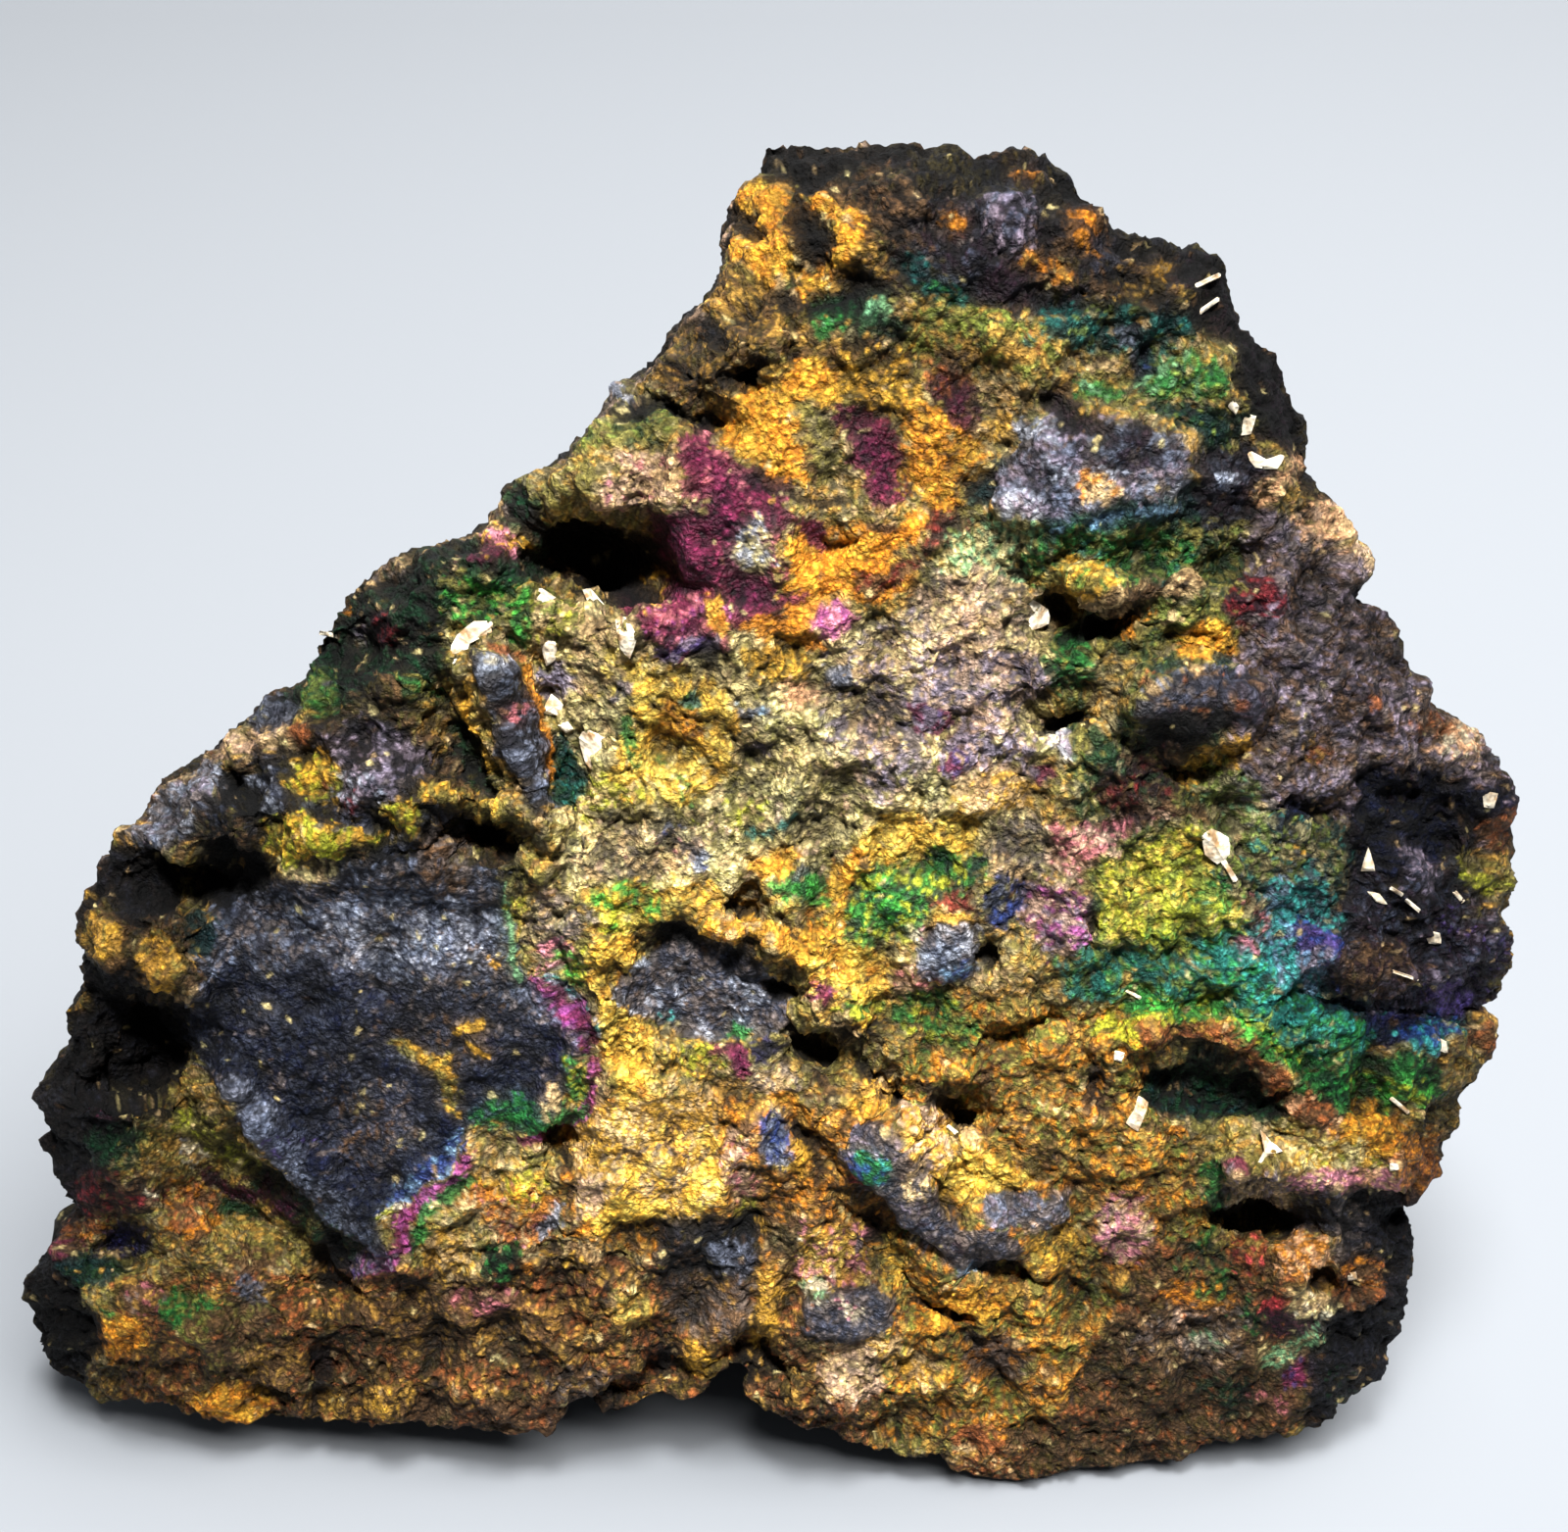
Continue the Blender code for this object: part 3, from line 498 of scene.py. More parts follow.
def paint_tower():
    """The olive tower below the rim, with its amber prongs and magenta stripe."""
    area("olive darkolive brown ochre darkolive black", 1, (-6, 103), (-1, 101.5), (1, 101), (5.5, 104.5),
        (7.5, 103), (7, 99.5), (5, 98.5), (4, 95), (-1, 93.5), (-4, 92), (-9, 94), (-10, 97), (-8, 100))
    area("amber gold", 1, (-2.5, 108), (-0.3, 108), (-0.2, 105), (1, 103.8), (0.8, 102.8), (-0.5, 102),
        (0.2, 100.3), (-1.8, 101.5), (-2.2, 102.5), (-3.6, 103), (-3.4, 104), (-2, 105), (-3, 107))
    vein("amber gold", 1, 0.6, (2.2, 107), (3.4, 106.3), (4.6, 106), (5, 105.2), (4.4, 103.8), (3, 102.2),
        (1.6, 101.6), (0.6, 100.6))
    vein("brownblack", 0.5, 1, (1.5, 104), (3.2, 103))
    vein("darkgreen black", 1, 0.5, (0.4, 102), (0.3, 100.8))
    vein("black", 1, 0.8, (-3.5, 106.5), (-2.2, 105.2))
    vein("black brownblack", 0.9, 0.7, (-1, 100.5), (2, 99.2), (5, 101.6), (7, 101))
    vein("black", 0.9, 0.5, (-8, 95.6), (-4.5, 94.6), (-1.5, 95.6))
    vein("black brownblack", 1, 0.8, (-6.5, 99.2), (-4.5, 97.5))
    vein("pinktan greybrown", 0.9, 0.5, (-4, 107), (-5.5, 101), (-8.4, 97.5), (-10.5, 95))
    vein("pinktan greybrown", 0.9, 0.5, (-12, 94.8), (-14, 91), (-18, 88.5))
    area("olive olivegreen ochre darkolive", 1, (8, 99.5), (12, 100.3), (15, 99.8), (17.5, 98.3), (19.5, 98),
        (20, 95.6), (17, 95.2), (12, 95.5), (9, 96.3), (8, 98))
    blob("olivegreen olive", 0.6, (12.5, 99), (2.5, 1))
    blob("rust ochre brown", 0.6, (17.8, 97), (1.8, 1))
    blob("brown", 0.5, (12.5, 95.8), (2.5, 0.8))
    vein("darkgreen black", 1, 1.2, (3, 99.8), (6, 99), (8, 98.5))
    vein("black", 1, 0.9, (5.5, 97), (5, 95.5))
    vein("green mint", 0.7, 0.6, (2.6, 98), (3.8, 98.3))
    vein("mint", 0.6, 0.5, (6, 99.5), (7, 99.8))
    area("darkolive gold darkolive brown", 1, (4, 97), (9, 97), (10, 93.5), (7, 92), (4, 93))
    area("amber gold amber", 1, (-4.5, 90.3), (-3, 93.5), (0, 95), (2.5, 96), (4, 94.5), (4, 92.6),
        (1.8, 93), (0.8, 92), (0.9, 90), (2, 87.5), (1, 86.5), (-0.3, 87.2), (-2.5, 89), (-5, 90.6))
    area("olivegrey olive brown", 1, (1, 93), (3, 93), (3.2, 91), (4, 89.5), (3.4, 87.8), (3.4, 86.5),
        (1.6, 87.5), (0.9, 89.5))
    area("magenta darkmagenta magenta plumblack", 1, (3.4, 92.5), (5.5, 92.6), (8.4, 90.6), (8.6, 88),
        (9, 85.4), (6.5, 85.2), (6, 87), (5, 88.5), (5.2, 90.3), (3.4, 91.2))
    area("amber gold amber brown", 1, (8.4, 93), (11, 93), (12.4, 91.4), (14, 90.2), (14.4, 88.4),
        (12.6, 87.2), (12.6, 84.6), (11, 84.4), (10, 85.8), (9, 86), (8.7, 89))
    area("plumblack darkmagenta brown", 1, (10, 95), (12.5, 94.8), (14.5, 93.2), (14.8, 91.2), (13.6, 90.3),
        (12.2, 91.5), (11, 93.5), (10.3, 93))
    vein("rust", 0.8, 0.7, (10.5, 95.2), (13, 94.4))
    area("magenta darkmagenta magenta rose", 1, (-7.5, 89.5), (-6, 91), (-4.8, 90.3), (-3, 88.7),
        (-1.6, 87.6), (0.3, 87), (0, 86.2), (-2, 85.4), (-5, 85.4), (-6.8, 85.8), (-7.8, 87))
    vein("plumblack", 1, 0.8, (-2.2, 87.3), (0, 86.6))
    area("pink tan pinktan rose", 1, (-13.5, 85.4), (-12, 89), (-9.5, 89.3), (-8, 88.5), (-7.8, 86),
        (-9.5, 85.5), (-12, 84.6))
    vein("black", 1, 0.7, (-11.5, 92.3), (-8.5, 92.8), (-6.5, 91.6), (-5, 91.4))
    blob("darkteal black", 1, (-2, 94.6), (0.8, 0.6))
    vein("steel silver", 0.9, 0.4, (-12.2, 93.8), (-11.2, 93.2))
    area("olivegreen olive darkgreen", 1, (-15.5, 90.5), (-11.5, 91.5), (-9.5, 92.2), (-7.6, 91.6),
        (-8.4, 89.8), (-11, 89.3), (-15.6, 89.4))
    vein("brownblack", 1, 0.4, (0.5, 86), (3, 85.4), (4.5, 85.8))


def paint_upper_right():
    """The oval steel plate, the blue and mint flats beside it and the black facet at the right edge."""
    area("black black plumblack", 1, (31, 104), (33.4, 98.5), (37, 93.6), (39.5, 90), (38.6, 87), (35, 90.5),
        (33, 94), (31.5, 97.5), (29.5, 99.5), (27, 102.5))
    blob("olivegreen teal darkteal olivegrey", 0.95, (23, 98.2), (6, 1.7))
    area("mint green olivegreen darkteal", 1, (26.8, 96.3), (28.5, 96.5), (30.5, 96), (32, 94.6),
        (31.6, 93.3), (29, 92.8), (26.5, 93.4), (25.6, 94.4))
    area("mint green olivegreen", 1, (21, 94.8), (23.6, 94.7), (24.4, 93.6), (23, 92.8), (21.2, 93.4))
    blob("tan olive", 0.8, (22.8, 95.6), (2.2, 0.8))
    area("slate navy darkteal blue", 1, (24.3, 98), (25.5, 98.3), (26.8, 96.5), (27.2, 95), (26, 94.6),
        (25.4, 96))
    vein("steel", 0.7, 0.5, (24, 98), (25.2, 96.3))
    area("darkgreen darkteal darkgreen olivegreen", 1, (25, 93), (27.5, 92.5), (31, 92.6), (33.5, 92.4),
        (35, 90.5), (31, 89.5), (28.5, 91), (26.5, 92))
    area("slate greybrown lilacgrey charcoal steel brown", 1, (15.5, 85.4), (16.2, 88.4), (18.2, 90.8),
        (20, 92.6), (23, 92.2), (26, 91), (29, 89.8), (30, 88), (29.2, 86.3), (27, 85.4), (24, 84.6),
        (20, 83.4), (17, 84))
    vein("silver", 0.6, 0.8, (17.5, 91), (20, 90.4))
    vein("silver", 0.6, 0.6, (19, 88), (22, 87), (24.5, 88))
    vein("silver cream", 0.8, 0.5, (28, 86.2), (29.3, 86.6))
    vein("silver", 0.6, 0.6, (16, 85.8), (20, 85))
    vein("amber tan", 0.7, 0.9, (22, 87.3), (23.6, 86))
    vein("amber", 0.7, 0.5, (17.8, 83.9), (19.3, 83.6))
    vein("black plumblack", 1, 0.7, (19, 93), (22.5, 91.2), (20.5, 91))
    blob("charcoal plumblack slate", 0.6, (25, 89.4), (4, 1.6))
    area("darkteal black", 1, (13, 87.6), (14.5, 87.3), (15.6, 89.5), (16.2, 88), (15.6, 85.6), (14.6, 84.6),
        (13.2, 85.4))
    area("ochre gold", 1, (14.5, 89.8), (15.8, 92), (17, 92.4), (16.6, 90.4))
    vein("darkteal darkgreen", 1, 1, (19, 83.4), (22, 84), (25, 84.8), (28.5, 85), (30, 85.8))
    vein("sky", 0.7, 0.3, (20, 83.6), (25, 84.9), (29, 85.3))
    blob("olivegreen olive mint", 0.8, (17, 83.2), (2.4, 1.4))
    area("charcoal plumblack slate", 1, (30.4, 84), (30.4, 89.4), (34, 89.8), (36, 87.5), (34.6, 84))
    vein("silver", 0.9, 0.4, (31.5, 87.6), (33, 87.4))
    vein("tan peach", 0.9, 0.9, (35.4, 85.8), (37.5, 88.5))
    blob("tan peach pinktan", 0.9, (40, 84), (2.4, 2.2))


def paint_middle_left():
    """The hollow under the tower painted black as painted shade, the magenta and amber bands and the bright
    yellow knoll.
    """
    # Painted shade: the hollow under the tower in black.
    area("black brownblack black", 1, (-17.5, 84), (-12, 83.5), (-9.5, 82.5), (-9.3, 80), (-10.2, 78.3),
        (-12, 77.7), (-14.5, 78.8), (-17.5, 80.5))
    blob("brown tan", 0.9, (-16.2, 80.6), (0.8, 0.7))
    area("magenta darkmagenta magenta plumblack magenta", 1, (-10.7, 84.6), (-6, 85.3), (-1, 85.6),
        (0.8, 84.9), (1, 83.3), (-0.4, 82.5), (-0.3, 79), (-0.5, 76.2), (-4, 75.3), (-6.5, 73.3), (-8, 72.8),
        (-9.3, 74.6), (-11, 76.5), (-12.9, 78.2), (-10.2, 78), (-9.3, 79.5), (-9.5, 82))
    blob("plumblack darkmagenta", 0.6, (-7.5, 80), (1.7, 1.2))
    blob("orchid magenta rose magenta", 0.8, (-6.8, 76), (3.4, 2.2))
    blob("gold", 0.9, (-9.9, 79.8), (0.7, 0.5))
    blob("gold tan", 0.8, (-10, 77.6), (0.8, 0.5))
    vein("lilacgrey violet", 1, 0.5, (-9, 73.6), (-5.5, 75))
    blob("black", 1, (-5.8, 73.6), (0.9, 0.8))
    vein("amber gold", 1, 0.5, (-5.3, 78), (-4.6, 75.5))
    area("cream palecream silver steel", 1, (-3.6, 82.8), (-2.3, 84.3), (-1, 83.5), (-0.5, 82), (-1, 80.2),
        (-2, 79.4), (-3.4, 80.5), (-3.9, 81.6))
    area("amber amber gold", 1, (0.3, 83), (5, 83.5), (10, 84.5), (10.3, 82.5), (8, 81.5), (9.5, 80),
        (8.5, 78.2), (5.5, 78.2), (4, 78.6), (2.8, 77.4), (2.4, 75.3), (3.6, 74.5), (1.5, 74), (0, 75),
        (-2.8, 75.5), (-3, 76.3), (0, 76.6), (0.1, 79.3))
    vein("black", 1, 0.25, (2.3, 82.3), (4.6, 82.3))
    vein("magenta", 1, 0.7, (2, 84), (2.6, 83))
    vein("plumblack", 1, 0.4, (6.5, 83.8), (8, 83.6))
    vein("redbrown plumblack brown", 1, 0.7, (10.5, 84.3), (14, 83.2), (11, 82.4))
    vein("redbrown brown", 1, 0.6, (6.2, 79.6), (7.5, 79.4), (9.6, 81.2))
    area("orchid pink", 1, (2.4, 77), (3.8, 78.2), (5.6, 76.3), (4.2, 75.9), (3.2, 75), (2.7, 75.2))
    blob("magenta", 0.9, (1.1, 78.2), (1, 0.5))
    area("olive gold darkolive", 1, (-3.3, 74.6), (-0.5, 74.9), (2.2, 73.7), (2, 72.4), (-0.5, 71.6),
        (-2, 72.3), (-3.2, 73.2))
    blob("yellow tan olivegrey", 0.85, (-13.2, 73.8), (2.8, 3.4))
    area("yellow gold yellow palecream", 1, (-11.5, 73.5), (-9, 73.4), (-7, 72), (-4, 71), (-3.5, 68),
        (-4, 64), (-8, 61.7), (-12.5, 62), (-13.5, 64), (-12, 68))
    blob("gold amber gold", 0.9, (-8, 68), (2.2, 2.2))
    blob("slate lilacgrey", 0.9, (-12.4, 71.3), (0.8, 1))
    blob("teal green", 0.9, (-6.9, 70.6), (0.9, 0.7))
    vein("green", 0.9, 0.45, (-12, 68.8), (-11.3, 65.3))
    vein("green olivegreen", 0.8, 0.25, (-9.5, 65.5), (-7.3, 63.4))
    blob("green", 0.9, (-7.6, 62), (0.5, 0.3))
    area("palecream tan lilacgrey palecream tan", 0.95, (3, 66), (12, 66), (12, 74), (14.5, 80), (10, 78),
        (5, 75), (3, 74))
    blob("olivegreen palecream mint tan", 0.9, (15, 81), (3.4, 3))
    blob("lilacgrey pinktan tan greybrown palecream", 0.9, (14, 77), (4.6, 3.4))
    blob("lilacgrey greybrown pinktan", 0.8, (7.8, 66), (2.5, 4.2))
    blob("peach", 0.9, (1.5, 70.9), (1.7, 1))
    vein("black", 1, 0.4, (2.9, 71.2), (4.6, 71.3))
    blob("silver steel", 1, (3.9, 72.4), (1.1, 0.65))
    blob("black", 1, (-1, 71.1), (0.5, 0.4))
    blob("greybrown lilacgrey", 1, (-2, 66.3), (1.1, 1.1))
    blob("steel sky", 0.8, (-2.2, 69.5), (1.8, 0.6))
    area("olivegrey olive tan lime palecream", 0.9, (-14.5, 64.5), (-8, 61.6), (-1, 63), (-1, 60.5),
        (-16, 60.5))
    blob("darkolive olivegrey", 0.8, (-10.5, 61.2), (5.5, 0.7))
    vein("slate steel blue", 1, 0.9, (-8.7, 59.7), (-6.5, 57.6))
    vein("cyan teal", 0.8, 0.4, (-2.8, 59.4), (-1, 59.5))
    vein("cyan", 0.8, 0.4, (0, 60.4), (0.8, 60.9))
    blob("pinktan greybrown olivegrey tan rose", 0.85, (-11, 58), (5.2, 2))
    area("lime brightgreen gold olivegreen", 0.95, (-15, 55), (-12, 56), (-10.3, 55.5), (-9.5, 53.5),
        (-11.5, 51.5), (-13.5, 51.2), (-15, 52.5))
    blob("olive gold ochre", 0.85, (-7.4, 54), (2.6, 1.7))


def paint_middle():
    """The gold and green belt in the middle and the dark pebble block right of it, with a painted shadow below
    the block and a painted highlight along its top edge.
    """
    area("amber gold", 1, (-3, 56.8), (-0.3, 58.8), (1.9, 57.9), (0, 56.4), (-1.5, 55.8))
    area("gold yellow gold amber", 1, (5.5, 58.5), (8, 61.5), (10, 61.8), (13, 60.5), (14.5, 62.3),
        (15, 57.6), (13.5, 58.3), (11.5, 57), (9, 56.9), (6.5, 56.2), (5, 55.6))
    vein("amber gold", 1, 0.6, (5.2, 57.2), (4.2, 54.5), (4.1, 51.8))
    area("green brightgreen green darkgreen", 1, (-0.8, 55), (0.4, 57.2), (2, 56.3), (3.7, 56), (3.7, 54.2),
        (2.4, 53.6), (0.5, 53.9))
    blob("slate", 0.8, (1.4, 56.4), (1.1, 0.5))
    area("brightgreen green darkteal lime green", 1, (5, 56), (7, 57), (9.5, 56.6), (11.5, 58.5), (13.5, 58),
        (15.3, 58), (15.5, 55.5), (12, 54.5), (11.5, 52.5), (9.5, 50.8), (7, 49.6), (4.6, 50.4), (4.6, 52.5),
        (5, 54.5))
    blob("green", 1, (2.7, 52.3), (0.5, 0.5))
    vein("black", 1, 0.45, (17.3, 80.3), (19, 79.2))
    blob("black", 1, (20.5, 77.8), (1, 0.9))
    vein("black", 1, 0.7, (21.6, 75.4), (24.5, 76.4), (26, 76.9))
    blob("teal green olive darkgreen olivegrey", 0.9, (24, 81), (6.4, 3))
    blob("gold olive ochre", 0.85, (22, 79.6), (2.6, 1.8))
    vein("tan brown", 1, 0.9, (23.5, 77.8), (30, 79.5))
    area("amber", 1, (24.4, 75.8), (25.8, 76.8), (27.8, 77.3), (26.5, 75.9), (25.9, 75.2))
    vein("olivegreen tan", 0.9, 0.6, (28.4, 78), (29.6, 74.8))
    area("gold gold amber", 1, (29.3, 75.3), (30.2, 76.6), (33.2, 76.2), (34.1, 74.2), (32.5, 74),
        (31.2, 73), (30, 74))
    blob("darkteal darkgreen", 1, (29.3, 72.8), (1.4, 0.6))
    blob("darkteal", 1, (33, 73.5), (1.1, 0.5))
    area("charcoal slate plumblack charcoal", 1, (26.6, 70.6), (28, 71.5), (30, 72.3), (33, 72.6),
        (35, 71.8), (35.8, 70.8), (35.6, 69), (33.5, 68.2), (31.5, 66.5), (30, 65.5), (28.3, 66.3), (27, 68))
    blob("rust brown greybrown", 0.45, (31, 70.8), (3.8, 1.4))
    # Painted shadow: black under the block.
    area("black", 0.95, (27.2, 69), (30, 69.6), (33, 69.8), (35.6, 69.4), (33.5, 68.2), (31.5, 66.5),
        (30, 65.5), (28.3, 66.3))
    # Painted highlight along the block's top edge.
    vein("steel tan", 0.8, 0.15, (27, 70.6), (30, 72.3), (33, 72.6))
    area("black", 1, (19.2, 68.2), (20.5, 69), (22, 70), (23.3, 69.5), (23.8, 68.2), (21.5, 68), (19.8, 67))
    vein("black", 1, 0.4, (19, 71.7), (19.8, 70.4))
    blob("silver cream lilacgrey", 0.9, (20.9, 66.9), (0.8, 1))
    blob("olive olivegrey ochre", 0.9, (24.6, 71.2), (1.8, 3.2))
    blob("darkgreen green darkolive", 0.8, (21.5, 73), (1.7, 2.1))
    blob("lilacgrey pinktan lilacgrey tan", 0.85, (14.5, 71), (5.2, 3.2))
    area("violet magenta lilacgrey", 1, (9.8, 69.5), (11.5, 69.8), (13, 68.5), (12.5, 67.4), (10.5, 67.8))
    blob("brown lilacgrey pinktan", 0.85, (15.8, 66), (3.5, 3))
    blob("violet magenta", 0.8, (13.2, 64.8), (1.3, 0.8))
    blob("violet magenta", 0.8, (19.8, 64.3), (0.8, 0.7))
    blob("gold tan", 0.9, (16, 62.8), (3, 1.8))
    blob("tan greybrown olivegrey", 0.85, (18, 58.5), (2.3, 2.7))
    area("rose brown pinktan rose greybrown", 1, (20, 60.8), (23, 60.3), (25, 60.5), (28, 62.3), (30, 61.8),
        (29, 60.5), (26, 58.5), (24, 57), (22, 55.5), (20.5, 56.3))
    blob("redbrown brown plumblack olivegrey", 0.8, (27, 64), (3.2, 3))
    area("ochre gold brown", 1, (30, 65), (32, 66.5), (35, 68), (35.3, 66.5), (33.5, 64), (31, 63))
    blob("olivegrey olivegreen olivegrey mint", 0.85, (34, 60.5), (3, 5.5))
    vein("brown", 1, 0.5, (29.5, 61.6), (31.5, 61.6), (32.5, 60.6))
    area("lime yellow lime olivegreen gold", 1, (25, 57.5), (27.5, 58.3), (30, 60), (32, 60), (32.3, 58.5),
        (34.8, 56.3), (35.5, 53), (35, 50.5), (30, 50), (25.5, 51), (24.6, 53), (24.5, 55.5))
    blob("olivegreen green olivegreen teal", 0.85, (33, 53), (2.6, 3.6))
    area("rose lilacgrey pinktan orchid brown pink", 1, (18.5, 55.5), (21, 55.5), (23.5, 54.8), (24, 53),
        (23.3, 51.5), (23.5, 49.8), (21, 49), (19.5, 51), (18.3, 53))
    blob("slate blue", 0.8, (17, 54), (1.6, 2))
    vein("black", 1, 0.4, (24, 53), (24.1, 51))
    blob("black", 1, (16.2, 49), (0.6, 1))
    vein("gold amber", 1, 0.8, (39.9, 58.3), (39.5, 55.5), (38.3, 53.2))
    blob("teal olivegrey olivegreen slate", 0.8, (38.5, 57), (4.5, 4))


def paint_right():
    """The right flank: grey-brown above, black and blue below it, partly painted shade, then cyan, green and
    the dark recess.
    """
    blob("teal slate cyan darkteal", 0.95, (40.5, 50), (4, 6))
    blob("charcoal plumblack slate brownblack lilacgrey", 1, (49.5, 50), (7.5, 8))
    area("greybrown brown lilacgrey charcoal greybrown pinktan", 0.9, (36, 67), (44, 67), (55, 64), (52, 71),
        (46, 78), (37, 80))
    blob("plumblack redbrown", 0.8, (35, 78), (2, 2))
    blob("ochre rust", 0.8, (41, 66), (1.2, 1))
    blob("rust", 0.9, (44, 70.3), (0.5, 0.4))
    vein("tan pinktan", 0.9, 0.45, (42, 82), (46, 77), (50, 71), (56, 64))
    blob("rust brown", 0.9, (49, 68.3), (1.2, 0.9))
    blob("peach cream", 0.9, (51.2, 67), (1.4, 1.5))
    blob("greybrown steel", 0.9, (54, 66.4), (1.1, 1))
    area("plumblack black navy charcoal", 1, (43.5, 58), (44, 65), (49, 64.5), (55.5, 63.5), (55.5, 59),
        (51, 57))
    # Painted shadow where the right facet starts, and painted shade in the hollow beside it.
    blob("navy black", 1, (39.5, 61.5), (1.7, 1.6))
    blob("navy black", 1, (48, 59), (3.4, 2.8))
    blob("rust brown", 1, (55.4, 59.8), (1.4, 1.9))
    blob("green olivegreen lime darkgreen", 0.85, (31.5, 51), (4.4, 2.6))
    vein("olive lime", 1, 0.6, (52.3, 58), (53, 56.3), (55.5, 55))
    vein("slate lilacgrey charcoal", 1, 0.8, (48, 58), (50.5, 55))
    vein("blue violet", 1, 1, (40.5, 51.5), (42.5, 49.8), (44, 48))
    # Painted highlight, pale blue and lilac.
    blob("sky lilacgrey", 0.9, (41.5, 48), (1.2, 1.9))
    blob("greybrown plumblack brown lilacgrey", 1, (46.5, 48.3), (3.1, 2.4))
    blob("violet plumblack slate lilacgrey", 0.9, (53.5, 49.3), (3.7, 3.9))
    blob("violet", 1, (52.5, 45.7), (1.7, 1.3))
    vein("rose brown", 0.8, 0.5, (36, 53.8), (38, 51.3))
    blob("lilacgrey pink greybrown", 0.9, (35.8, 50), (1.5, 0.8))
    # Dark blue under the overhanging lump: the crust's own blue and painted shade in one.
    blob("navy darkteal", 1, (43, 44.8), (3.2, 1.6))
    blob("indigo navy", 1, (48.3, 43), (2.4, 1.6))
    blob("teal blue cyan", 0.9, (51.3, 42.5), (2.4, 1.6))
    blob("brown rust", 1, (55.6, 42.2), (1.2, 1.2))
    vein("green teal olivegreen", 1, 2.2, (24, 48), (30, 47.5), (36, 46), (40, 43.5), (45, 40.5))
    vein("teal cyan green teal", 0.9, 1.1, (33, 50), (36, 49), (38.6, 46.6), (42, 43.8), (46, 42))
    vein("sky cyan steel", 0.85, 1, (38.4, 55), (38.8, 52), (39.6, 49.5), (39.8, 47))
    vein("ochre", 0.9, 0.5, (27.3, 48), (26.8, 47))
    blob("olivegreen lime green", 0.9, (31, 44.5), (4.2, 1.1))
    vein("brightgreen green lime", 0.9, 1, (28, 45), (33, 44.4), (37.5, 42.4), (41, 40.2))
    area("cyan green teal", 0.9, (40, 45), (42, 44.5), (44, 43.5), (46, 42.5), (46.5, 41), (44, 41.3),
        (42, 41.8), (40.5, 43))
    blob("gold lime olivegreen", 0.9, (28.5, 42.8), (3.8, 1.4))
    vein("brown rust ochre", 1, 1, (29, 42.5), (34, 43), (36, 41.5), (38.5, 39), (40, 37))
    area("darkgreen black darkgreen darkteal", 1, (29, 40), (31, 39.8), (34, 41), (37, 39.5), (39, 37.5),
        (41, 35.5), (39, 34.8), (35, 34.8), (31, 35), (29, 36.5), (28.5, 38.5))
    area("darkgreen darkgreen green darkolive", 1, (40.5, 40.5), (52, 40.5), (53.5, 37), (46, 35),
        (41.5, 36))
    blob("lime brightgreen", 0.5, (48.5, 37.5), (3.6, 1.6))
    vein("peach brown rust", 1, 0.9, (41.5, 36.5), (44, 35), (47, 32.5), (49, 31.5))
    blob("amber gold", 0.95, (47.5, 34), (2.6, 2.5))
    blob("amber brown", 0.95, (51.7, 32.5), (1.9, 1.6))
    blob("darkolive", 0.9, (51.5, 34.3), (1.6, 0.9))
    blob("lime palecream gold", 0.95, (44.5, 31.5), (3.4, 1.5))
    blob("lime palecream gold", 0.95, (47.7, 30), (1.8, 1.4))
    vein("black", 1, 0.3, (46.2, 30), (49, 28.7))
    vein("peach pink tan", 1, 0.9, (42, 28.8), (45.5, 29.4), (49, 29.6))
    blob("rust amber brown", 0.95, (51.6, 30.3), (1.9, 1.9))


def paint_lower_right():
    """Under the brown crest: grey-brown shelf, the black under it as painted shadow of its ledge and painted
    shade in the cave, bone and tan lumps, red and rust grains.
    """
    blob("greybrown tan lilacgrey", 0.95, (38.2, 28), (2.9, 2))
    blob("cream tan", 0.8, (37.5, 27.6), (0.8, 0.5))
    blob("darkmagenta magenta", 1, (37.2, 30.6), (0.8, 0.5))
    # Painted shadow under the shelf's ledge, and painted shade in the cave.
    vein("black brownblack", 1, 0.85, (34.5, 27), (38, 26), (41, 25.5), (46, 25))
    blob("charcoal black slate", 0.9, (44, 26.4), (2.8, 2.2))
    vein("greybrown", 0.7, 0.4, (45.5, 27), (45.7, 22))
    vein("greybrown", 0.7, 0.4, (47, 26.5), (47.1, 22.5))
    area("tan peach amber tan", 1, (40.5, 24.5), (43.5, 24.3), (45.3, 22.5), (44.5, 20), (41, 20.5))
    area("cream tan palecream greybrown", 1, (41.5, 20), (43.5, 19.2), (45.2, 18), (45, 16.2), (42.3, 16))
    blob("black", 1, (44.4, 19.7), (0.9, 0.6))
    blob("rust brown amber", 0.95, (47.3, 20), (2.3, 2.1))
    blob("red rust redbrown", 0.5, (38, 22.3), (2.2, 1.8))
    blob("red redbrown", 0.9, (40.7, 17.5), (1.3, 0.8))
    blob("darkmagenta plumblack", 0.95, (42, 16), (2, 1))
    blob("violet magenta darkmagenta", 0.9, (42.7, 11), (1.1, 1.6))
    vein("olivegrey mint tan", 0.9, 0.7, (40.5, 12.2), (42.5, 13.4), (44, 15))
    blob("darkgreen green", 0.9, (38.5, 16.8), (1.2, 1.4))
    blob("darkgreen charcoal black", 0.9, (46.7, 10), (2.2, 2.3))
    blob("tan brown greybrown pinktan", 0.8, (34, 15), (4.6, 4))
    blob("rust amber brown", 0.85, (34, 19), (3.2, 1.6))
    blob("cream mint", 0.8, (34.8, 14), (1.4, 0.8))
    blob("green darkgreen olive", 0.7, (35, 21.5), (2.2, 3))
    blob("green darkgreen", 0.8, (35, 29), (1.2, 2.1))
    blob("brown darkgreen brownblack", 0.85, (38, 9), (2.6, 2.2))
    blob("rose brown", 0.8, (40.5, 8.8), (1.6, 0.9))


